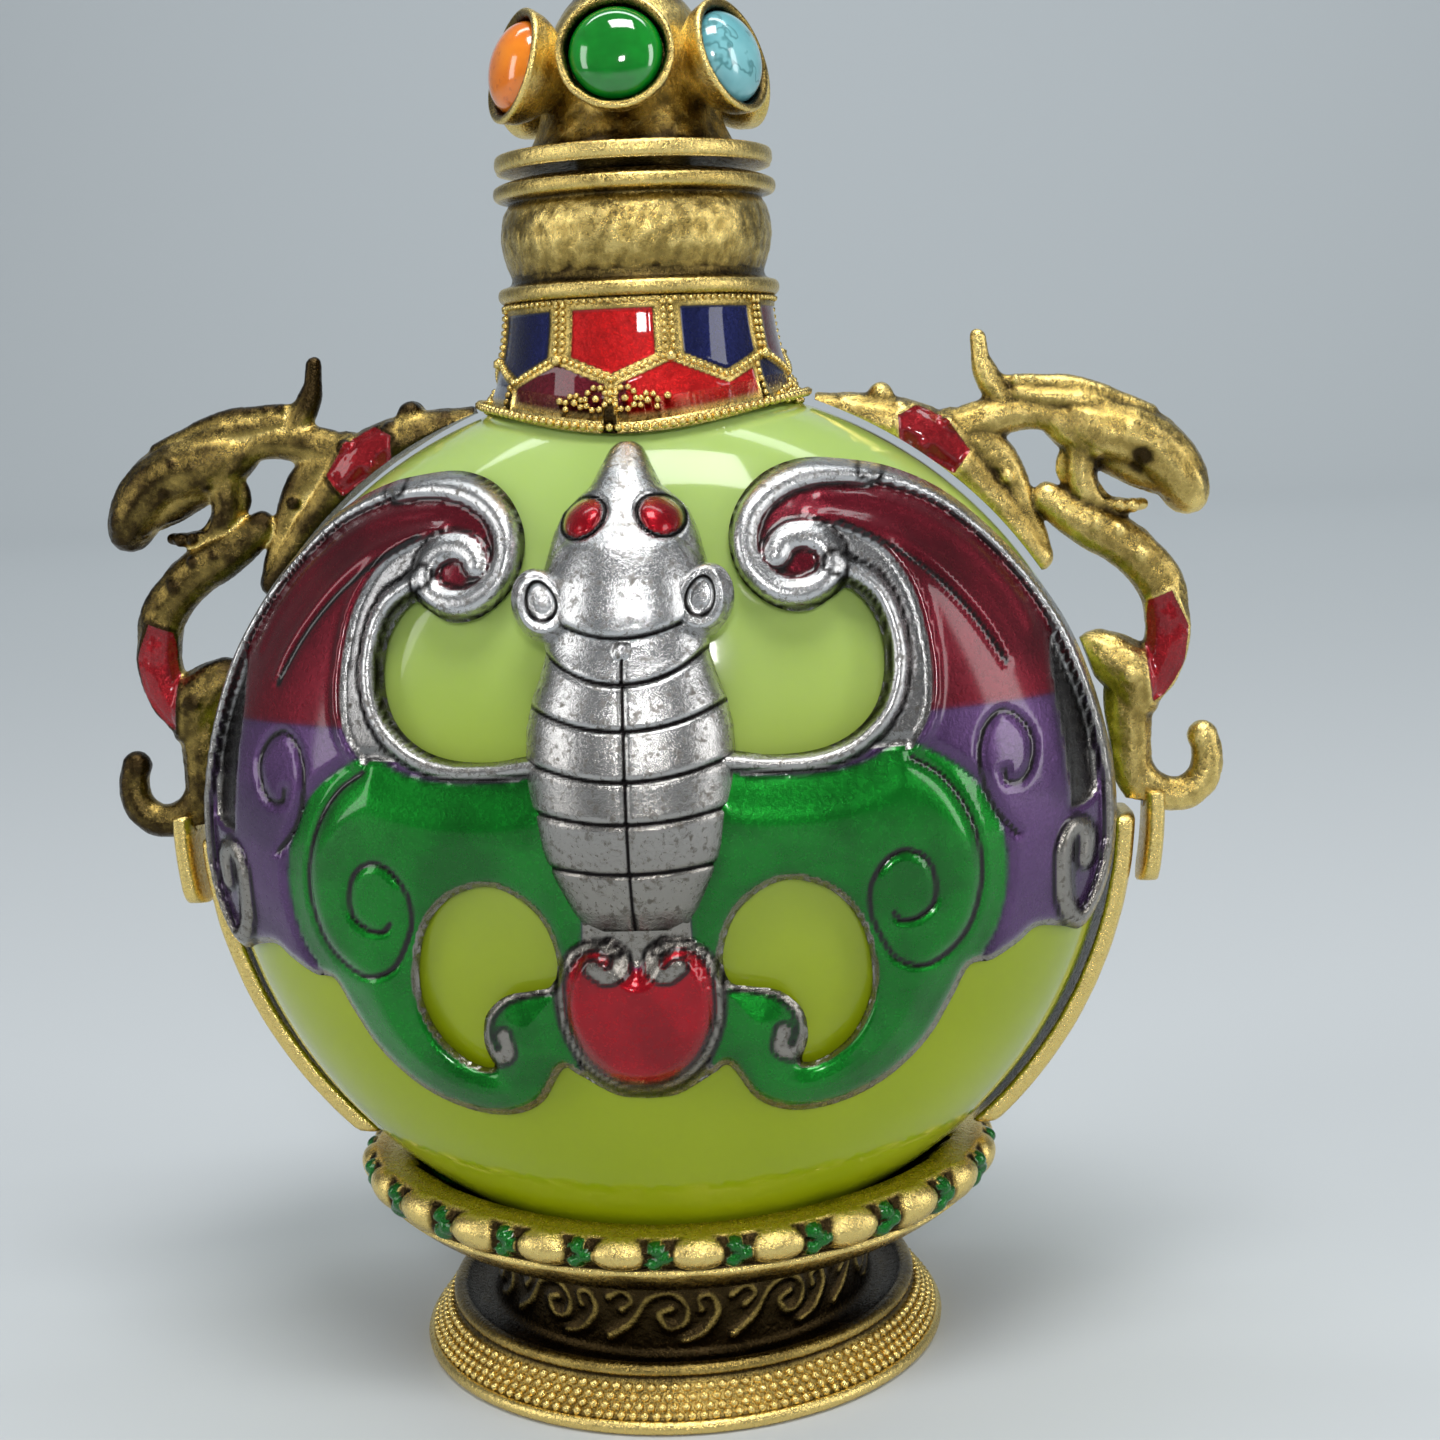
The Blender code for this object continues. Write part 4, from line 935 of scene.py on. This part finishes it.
for row, radius in enumerate(np.arange(12.68, 13.62, 0.27)):
    count = int(2 * math.pi * radius / 0.58)
    grains += [(radius, 2 * math.pi * (number + 0.5 * (row % 2)) / count) for number in range(count)]
waist = [vert for vert in form.verts if 2.6 < vert.co.z < 6.1 and vert.co.xy.length < 10.25]
repeat = 2 * math.pi * 10 / SCROLL_REPEATS
places = np.array([((math.atan2(vert.co.x, -vert.co.y) * 10 + repeat / 2) % repeat - repeat / 2,
                    vert.co.z - 4.4)
                   for vert in waist])
from_scroll = np.min([distance_to(places, line) for line in scroll_lines], 0)
for vert, away in zip(waist, from_scroll):
    x, y, z = vert.co
    rise = 0.17 * math.exp(-(away / 0.30) ** 2) * min(1, (z - 2.6) * 2, (6.1 - z) * 3)
    vert.co.xy *= 1 + rise / math.hypot(x, y)
for vert in form.verts:
    # Painted shade: the waist and the cup's underside, below the overhanging cup rim, are marked to be painted
    # darker.
    vert[shade] = (0.8 * float(ease(vert.co.z, 2.4, 2.9) * ease(vert.co.z, 7.6, 7.0))
                   * (vert.co.xy.length > 9.5))
    x, y, z = vert.co
    radius = math.hypot(x, y)
    if 7.45 < z < 9.38 and radius > 10.9:
        turn = math.atan2(x / cup_x, -y / cup_y) * BOSSES / (2 * math.pi) + 0.5
        across = (turn + 0.5) % 1 - 0.5
        gap = turn % 1 - 0.5
        boss = math.sqrt(max(0, 1 - (across / 0.37) ** 2 - ((z - 8.4) / 0.9) ** 2))
        dots = [math.sqrt(max(0, 1 - ((gap - shift) / 0.11) ** 2 - ((z - level) / 0.38) ** 2))
                for shift, level in ((-0.06, 8.0), (0.07, 8.35), (-0.03, 8.8))]
        rise = max(0.62 * boss, 0.55 * max(dots))
        vert[green] = min(1, max(dots) * 3) if max(dots) * 0.55 > 0.62 * boss else 0.0
        vert.co.x, vert.co.y = x * (1 + rise / radius), y * (1 + rise / radius)
    share = (z - CUP_FLOOR) / (RIM_HEIGHT - CUP_FLOOR)
    if share > 0:
        lifted = z + SADDLE * share * (x / cup_x) ** 2
        before, after = belly_size(z, GLASS_GAP), belly_size(lifted, GLASS_GAP)
        around = math.atan2(y / before[1], x / before[0])
        vert.co.x += (after[0] - before[0]) * math.cos(around)
        vert.co.y += (after[1] - before[1]) * math.sin(around)
        vert.co.z = lifted
bmesh.ops.holes_fill(form, edges=[edge for edge in form.edges if edge.is_boundary], sides=0)
add_beads(form, [(radius * math.sin(turn), -radius * math.cos(turn), skirt_height(radius) + 0.02)
                 for radius, turn in grains], 0.27)
mesh = to_mesh("foot", form)
mark_relief(mesh, 10, 0.05)
link_piece("foot_and_cup", mesh, [brass.material], "foot")

# Cap
# A brass cap that lifts off: a thin flange, a waisted core with six bezels soldered round it, a stem
# and a bud-shaped knob. A short spigot below the flange fits the bore of the glass.

bezel_frames = [Matrix.Translation((0, 0, 64.39)) @ Matrix.Rotation(math.radians(60 * number - 90), 4, "Z")
                @ Matrix.Rotation(math.radians(75), 4, "Y") for number in range(6)]
cap_profile = smooth_line([
    (0.001, 57.5), (2.4, 57.5), (2.8, 57.6), (2.9, 57.9), (2.9, 60.5), (2.9, 61.02), (3.2, 61.1),
    (6.55, 61.1),
    (6.85, 61.15), (6.99, 61.36), (6.99, 61.72), (6.86, 61.93), (6.5, 61.97), (6.05, 61.9), (5.6, 61.95),
    (5.2, 62.2),
    (4.9, 62.7), (4.65, 63.4), (4.45, 64.3), (4.3, 65.4), (4.1, 66.6), (3.75, 67.8), (3.25, 68.7),
    (2.75, 69.3),
    (2.35, 69.8), (2.15, 70.2), (2.2, 70.5), (2.55, 70.85), (2.98, 71.4), (3.1, 72.0), (3.0, 72.7),
    (2.65, 73.4),
    (2.15, 74.0), (1.6, 74.5), (1.15, 74.8), (0.95, 75.0), (0.9, 75.2), (0.72, 75.4), (0.35, 75.48),
    (0.001, 75.49),
], 4)


def petals(angle, row):
    """Eight soft lobes round the knob."""
    z = cap_profile[row][1]
    return -0.055 * abs(math.sin(4 * angle)) ** 0.5 * math.exp(-((z - 72.4) / 1.5) ** 2)


def set_in_place(form, matrix):
    """A form moved to its place on the cap."""
    bmesh.ops.transform(form, matrix=matrix, verts=form.verts)
    return form


form = oval_sheet([(radius, radius, z) for radius, z in cap_profile], 192, petals)
for vert in form.verts:
    x, y, z = vert.co
    if 62.3 < z < 69.5:
        dent = 0.05 * noise.noise(Vector((x, y, z)) * 1.4)
        vert.co += Vector((x, y, 0)).normalized() * dent
bezel_profile = smooth_line([(0.3, 3.2), (1.25, 3.3), (1.5, 3.9), (1.95, 4.6), (2.4, 5.15), (2.68, 5.65),
                             (2.8, 6.15),
                             (2.84, 6.42), (2.74, 6.56), (2.58, 6.57), (2.44, 6.46), (2.36, 6.28),
                             (2.33, 6.0),
                             (2.33, 5.75), (2.1, 5.7), (0.3, 5.7)], 4)
for number, frame_at in enumerate(bezel_frames):
    cup = oval_sheet([(radius, radius, z) for radius, z in bezel_profile], 72)
    bmesh.ops.holes_fill(cup, edges=[edge for edge in cup.edges if edge.is_boundary], sides=0)
    for vert in cup.verts:
        sway = 1 + 0.012 * noise.noise(Vector((vert.co.x, vert.co.y, number * 7.0)) * 0.8)
        vert.co = Vector((vert.co.x * sway, vert.co.y * sway, vert.co.z))
    add_form(form, set_in_place(cup, frame_at))
mesh = to_mesh("cap", form)
mark_relief(mesh, 12, 0.05)
link_piece("cap_with_bezels", mesh, [brass.material], "cap")

# Stones
# Six polished cabochons, in turn green glass, turquoise and coral, held by the rims of their bezels.

green_stone = Shader("green_stone")
streak = green_stone.noise(500, 3, 0.6)
green_stone.set(Base_Color=green_stone.mix(green_stone.spread(streak, 0.3, 0.7),
                                           (0.001, 0.19, 0.012), (0.003, 0.30, 0.02)),
                Roughness=green_stone.spread(streak, 0.2, 0.8, 0.06, 0.16), Coat_Weight=1.0, Coat_Roughness=0.02,
                Subsurface_Weight=0.15, Subsurface_Scale=0.0006)
turquoise = Shader("turquoise_stone")
cloud = turquoise.noise(330, 3, 0.6)
vein = turquoise.math("ABSOLUTE", turquoise.math("SUBTRACT", turquoise.noise(230, 4, 0.6), 0.5))
sky = turquoise.mix(turquoise.spread(cloud, 0.35, 0.7), (0.13, 0.42, 0.47), (0.23, 0.56, 0.60))
turquoise.set(Base_Color=turquoise.mix(turquoise.spread(vein, 0.0, 0.02), (0.10, 0.30, 0.32), sky),
              Roughness=turquoise.spread(cloud, 0.2, 0.8, 0.10, 0.2), Coat_Weight=1.0, Coat_Roughness=0.04)
coral = Shader("coral_stone")
cloud = coral.noise(400, 3, 0.6)
speck = coral.noise(2600, 3, 0.6)
warm = coral.mix(coral.spread(cloud, 0.3, 0.7), (0.85, 0.20, 0.008), (0.95, 0.28, 0.014))
coral.set(Base_Color=coral.mix(coral.spread(speck, 0.58, 0.7, 0, 0.5), warm, (0.50, 0.09, 0.01)),
          Roughness=coral.spread(speck, 0.2, 0.8, 0.12, 0.24), Coat_Weight=1.0, Coat_Roughness=0.05)

stone_profile = smooth_line([(0.001, 5.96), (2.0, 5.96), (2.2, 6.0), (2.25, 6.12), (2.22, 6.3),
                             (2.12, 6.52), (1.93, 6.77),
                             (1.62, 7.02), (1.22, 7.22), (0.8, 7.34), (0.4, 7.39), (0.001, 7.4)], 4)
for number, frame_at in enumerate(bezel_frames):
    stone = set_in_place(oval_sheet([(radius, radius, z) for radius, z in stone_profile], 72), frame_at)
    shader, slot = ((green_stone, "green_stone"), (turquoise, "turquoise_stone"),
                    (coral, "coral_stone"))[number % 3]
    link_piece("stone_%d" % (number + 1), to_mesh("stone", stone), [shader.material],
               "cabochon_%d" % (number + 1))

# Side bands
# Two flat brass straps that run up the edges of the glass from the foot to the dragons.

for name, side in (("left", -1), ("right", 1)):
    form = bmesh.new()
    rows, steps = 90, 20
    bmesh.ops.create_grid(form, x_segments=steps * 2, y_segments=rows, size=1.0)
    for vert in form.verts:
        turn = math.pi * vert.co.x
        z = 11.2 + (vert.co.y + 1) / 2 * 16.45
        end = min(1, (1 - abs(vert.co.y)) * 30) ** 0.5
        across = 1.95 * math.copysign(abs(math.cos(turn)) ** 0.35, math.cos(turn)) * (0.75 + 0.25 * end)
        rise = 0.85 + 0.5 * math.copysign(abs(math.sin(turn)) ** 0.45, math.sin(turn)) * (0.5 + 0.5 * end)
        half_x, half_y = belly_size(z, rise)
        x = float(half_x) * math.sqrt(1 - (across / float(half_y)) ** 2)
        x += 0.03 * noise.noise(Vector((across, z, side * 5.0)) * 0.7)
        vert.co = (side * x, across, z)
    bmesh.ops.remove_doubles(form, verts=form.verts, dist=1e-4)
    bmesh.ops.holes_fill(form, edges=[edge for edge in form.edges if edge.is_boundary], sides=0)
    mesh = to_mesh("side_band", form)
    mark_relief(mesh, 20, 0.05)
    link_piece("side_strap_" + name, mesh, [brass.material], "side_band_" + name)

# Dragons
# Two cast and gilt brass dragons that climb the shoulders: a forked shoulder against the glass, an
# arched neck, a horned head with an open mouth, a coiled body and a curled tail with a flat tongue
# below it. Red enamel lies in the shoulder and the coil.

STRANDS = [
    # The forked shoulder that lies along the glass
    (1.15, [(8.9, 49, .66), (9.7, 48.8, .84), (11.1, 48.4, 1.17), (12.2, 48, 1.41), (13.6, 47.6, 1.45),
            (14.8, 46.9, 1.41), (16.0, 45.9, 1.22), (17.1, 44.7, 1.03), (18.2, 43.3, .94),
            (19.2, 41.9, .84),
            (20.0, 40.9, .66)]),
    (0.95, [(15.6, 47.5, 1.17), (17.0, 46.8, 1.12), (18.1, 45.8, .95), (18.7, 44.7, .80), (19.2, 43.3, .70),
            (19.7, 42.1, .66), (20.1, 41.1, .56)]),
    # The arched neck, with its ribbed mane and its horn
    (1.0, [(16.1, 47.5, 1.12), (17.5, 48, 1.03), (19.1, 48.25, .86), (20.6, 48.1, .84), (21.7, 47.5, 1.17),
           (22.9, 46.9, 1.41)]),
    (1.3, [(18.4, 49.9, .33), (19.8, 49.75, .45), (21.6, 49.6, .47), (22.9, 49.25, .45), (24.3, 48.6, .47),
           (25.6, 48, .50)]),
    (1.5, [(19.0, 49.3, .5), (20.5, 49, .6), (22.4, 48.7, .7), (24.2, 47.9, .7)]),
    (1.0, [(18.3, 48.9, .70), (17.9, 49.5, .70), (17.5, 50.2, .64), (17.2, 51, .50), (17.1, 51.8, .42),
           (17.0, 52.2, .37)]),
    # The head from the nape to the snout, with its cheek and lower jaw
    (1.1, [(22.0, 47.7, 1.17), (23.3, 47.2, 1.55), (24.7, 46.8, 1.62), (25.8, 46.2, 1.6),
           (26.7, 45.3, 1.45),
           (27.2, 44.5, 1.3), (27.5, 43.9, 1.05)]),
    (1.0, [(23.6, 46.1, 1.0), (24.9, 45.5, 1.1), (26.0, 44.9, 1.0)]),
    (1.2, [(22.2, 46.3, .94), (22.1, 45.2, .84), (22.3, 44.3, .78), (23.2, 43.55, .52), (24.3, 43.35, .40),
           (25.2, 43.45, .32)]),
    # The coiled body and the elbow that rests on the glass
    (1.0, [(20.4, 43.9, .80), (21.4, 43.2, .98), (22.5, 42.5, 1.12), (23.9, 41.7, 1.17), (25.1, 40.7, 1.17),
           (26.1, 39.3, 1.17), (26.4, 37.9, 1.12), (26.4, 36.5, 1.12), (26.0, 35.1, 1.12), (25.2, 34, 1.08),
           (24.5, 33.1, 1.17)]),
    (1.1, [(22.1, 35.9, .61), (22.8, 36.1, .94), (23.7, 35.5, 1.31), (24.6, 34.7, 1.45),
           (24.8, 33.5, 1.22)]),
    # The stem down to the band, and the curled tail
    (1.0, [(24.4, 33.8, 1.22), (24.4, 32.4, 1.18), (24.5, 31, 1.05), (24.6, 29.6, .95), (24.9, 28.4, .65)]),
    (0.95, [(24.3, 30.8, 1.0), (24.9, 29.3, 1.0), (26.1, 28.45, .89), (27.4, 28.45, .87), (28.3, 29.4, .82),
            (28.4, 30.6, .78), (28.2, 31.4, .76)]),
    # Locks behind the cheek
    (1.0, [(22.6, 48.5, .35), (21.8, 47.9, .42), (21.3, 47.1, .36), (21.6, 46.4, .3)]),
    (1.0, [(22.0, 46.7, .35), (21.3, 45.9, .38), (21.3, 45, .34), (21.8, 44.4, .3)]),
]
# Balls of solder: across, up, radius and how far in front of the middle
BALLS = [
    (22.8, 42.5, .36, .95), (23.9, 42.2, .47, .85), (25.0, 41, .52, .85), (25.9, 39.9, .42, .85),
    (26.6, 39, .36, .7), (24.4, 34.9, .72, 1.1), (28.2, 31.5, .74, 0), (22.9, 46.3, .42, 1.05),
    (24.7, 43.4, .40, .35), (24.0, 43.45, .34, .5), (25.6, 47, .55, 1.15), (24.4, 47.3, .42, 1.5),
    (27.6, 44.25, .48, .45), (17.05, 52.1, .45, 0), (13.0, 48.7, .50, 1.0), (15.4, 47.8, .45, 1.0),
    (14.1, 46.9, .40, 1.45), (16.0, 46.4, .36, 1.15), (14.6, 45.7, .50, 1.0), (12.1, 49.4, .72, .3),
    (11.3, 48.3, .66, .8), (18.4, 45.1, .4, .7), (19.0, 42.9, .36, .55), (10.2, 49.1, .5, .5),
]
ENAMEL_CELLS = [
    [(12.9, 48.4), (14.1, 49), (15.4, 48.1), (16.5, 46.5), (15.7, 45.4), (14.2, 46.3), (13.0, 46.9)],
    [(25.4, 38.6), (26.5, 39.1), (27.4, 37.2), (27.2, 35.3), (26.2, 33.7), (25.5, 33.4), (25.3, 34.7),
     (25.2, 36.8)],
]
MOUTH = [(23.0, 44.4), (23.6, 44.75), (24.5, 44.45), (25.5, 44.05), (26.4, 43.6), (25.4, 43.8),
         (24.4, 43.85), (23.3, 43.9)]
FULLNESS = 1.07
EYE_AT = Vector((25.0, 45.85))


def melt(form, size, smoothing):
    """Melt overlapping balls into one closed skin of small, even faces."""
    mesh = bpy.data.meshes.new("balls")
    form.to_mesh(mesh)
    form.free()
    spare = bpy.data.objects.new("balls", mesh)
    bpy.context.scene.collection.objects.link(spare)
    remesh = spare.modifiers.new("Melt", "REMESH")
    remesh.mode = "VOXEL"
    remesh.voxel_size = size
    smooth = spare.modifiers.new("Smooth", "SMOOTH")
    smooth.iterations = smoothing
    skin = bpy.data.meshes.new_from_object(spare.evaluated_get(bpy.context.evaluated_depsgraph_get()))
    bpy.data.objects.remove(spare)
    bpy.data.meshes.remove(mesh)
    made = bmesh.new()
    made.from_mesh(skin)
    bpy.data.meshes.remove(skin)
    return made


def edge_depth(points, outline):
    """How deep each point lies inside a closed outline, below zero outside it."""
    line = closed(np.array(outline))
    away = distance_to(points, line)
    return np.where(is_inside(points, line), away, -away)


for name, side in (("left", -1), ("right", 1)):
    form = bmesh.new()
    for depth, strand in STRANDS:
        for x, z, radius in smooth_line(strand, 6):
            bmesh.ops.create_icosphere(form, subdivisions=2, radius=radius * FULLNESS,
                                       matrix=Matrix.Translation((x, 0, z)) @ Matrix.Diagonal((1, depth, 1, 1)))
    for x, z, radius, front in BALLS:
        for y in {front, -front}:
            bmesh.ops.create_icosphere(form, subdivisions=2, radius=radius,
                                       matrix=Matrix.Translation((x, y, z)))
    for share in np.linspace(0, 1, 9):
        x, z = 18.9 + 6.2 * share, 49.95 - 1.9 * share ** 1.8
        bmesh.ops.create_icosphere(form, subdivisions=2, radius=0.34,
                                   matrix=Matrix.Translation((x, 0, z)) @ Matrix.Diagonal((0.7, 2.1, 1, 1)))
    form = melt(form, 0.12, 3)
    red = form.verts.layers.float.new("red")
    wine = form.verts.layers.float.new("wine")
    shade = form.verts.layers.float.new("shade")
    places = np.array([(vert.co.x, vert.co.z) for vert in form.verts])
    cells = np.max([edge_depth(places, outline) for outline in ENAMEL_CELLS], 0)
    mouth = edge_depth(places, MOUTH)
    for vert, cell, gape in zip(form.verts, cells, mouth):
        x, y, z = vert.co
        facing = min(1, max(0, abs(vert.normal.y) * 1.6 - 0.3))
        rise = 0.05 * noise.noise(Vector((x, y, z)) * 1.1) + 0.02 * noise.noise(Vector((x, y, z)) * 3.5)
        rise += facing * (0.10 * math.exp(-((cell + 0.08) / 0.14) ** 2)
                          - 0.10 * min(max(cell / 0.15, 0), 1))
        rise -= facing * 1.1 * min(max((gape + 0.1) / 0.3, 0), 1)
        from_eye = (Vector((x, z)) - EYE_AT).length
        rise -= facing * (0.30 * math.exp(-(from_eye / 0.55) ** 2)
                          - 0.22 * math.exp(-(from_eye / 0.22) ** 2))
        vert.co += vert.normal * rise
        vert[red] = min(max((cell + 0.02) / 0.1, 0), 1) * min(1, facing * 1.5)
        vert[wine] = 0.6 * vert[red]
        # Painted shade: the eye pit and the open mouth are marked to be painted darker.
        hollow = math.exp(-(from_eye / 0.5) ** 2) + min(max((gape + 0.2) / 0.3, 0), 1)
        vert[shade] = facing * min(1, 0.9 * hollow)
        x, y, z = vert.co
        reach = math.hypot(x / (BELLY_WIDTH + 0.36), (z - BELLY_MIDDLE) / (BELLY_RISE + 0.36))
        if reach < 1:
            x, z = x / reach, BELLY_MIDDLE + (z - BELLY_MIDDLE) / reach
        from_middle = math.hypot(x, y)
        if from_middle < 8.78 and z > 47:
            x, y = x * 8.78 / from_middle, y * 8.78 / from_middle
        if z < 28.2 and abs(y) < 2.4:
            x = max(x, float(belly_size(z, 1.76)[0]))
        vert.co = (x * side, y, z)
    tongue = bmesh.new()
    bmesh.ops.create_grid(tongue, x_segments=40, y_segments=40, size=1.0)
    for vert in tongue.verts:
        turn, up = math.pi * vert.co.x, (vert.co.y + 1) / 2
        z = 23.9 + 4.8 * up
        end = math.sqrt(max(0, min(1, up * 5)) * (2 - max(0, min(1, up * 5))))
        y = 1.66 * math.copysign(abs(math.cos(turn)) ** 0.5, math.cos(turn)) * (0.35 + 0.65 * end)
        out = 2.32 + 0.52 * math.copysign(abs(math.sin(turn)) ** 0.6, math.sin(turn))
        vert.co = (side * float(belly_size(z, out)[0]), y, z)
    bmesh.ops.remove_doubles(tongue, verts=tongue.verts, dist=1e-4)
    bmesh.ops.holes_fill(tongue, edges=[edge for edge in tongue.edges if edge.is_boundary], sides=0)
    add_form(form, tongue)
    mesh = to_mesh("dragon", form)
    mark_relief(mesh, 30, 0.13)
    link_piece("dragon_handle_" + name, mesh, [brass.material], "dragon_" + name)
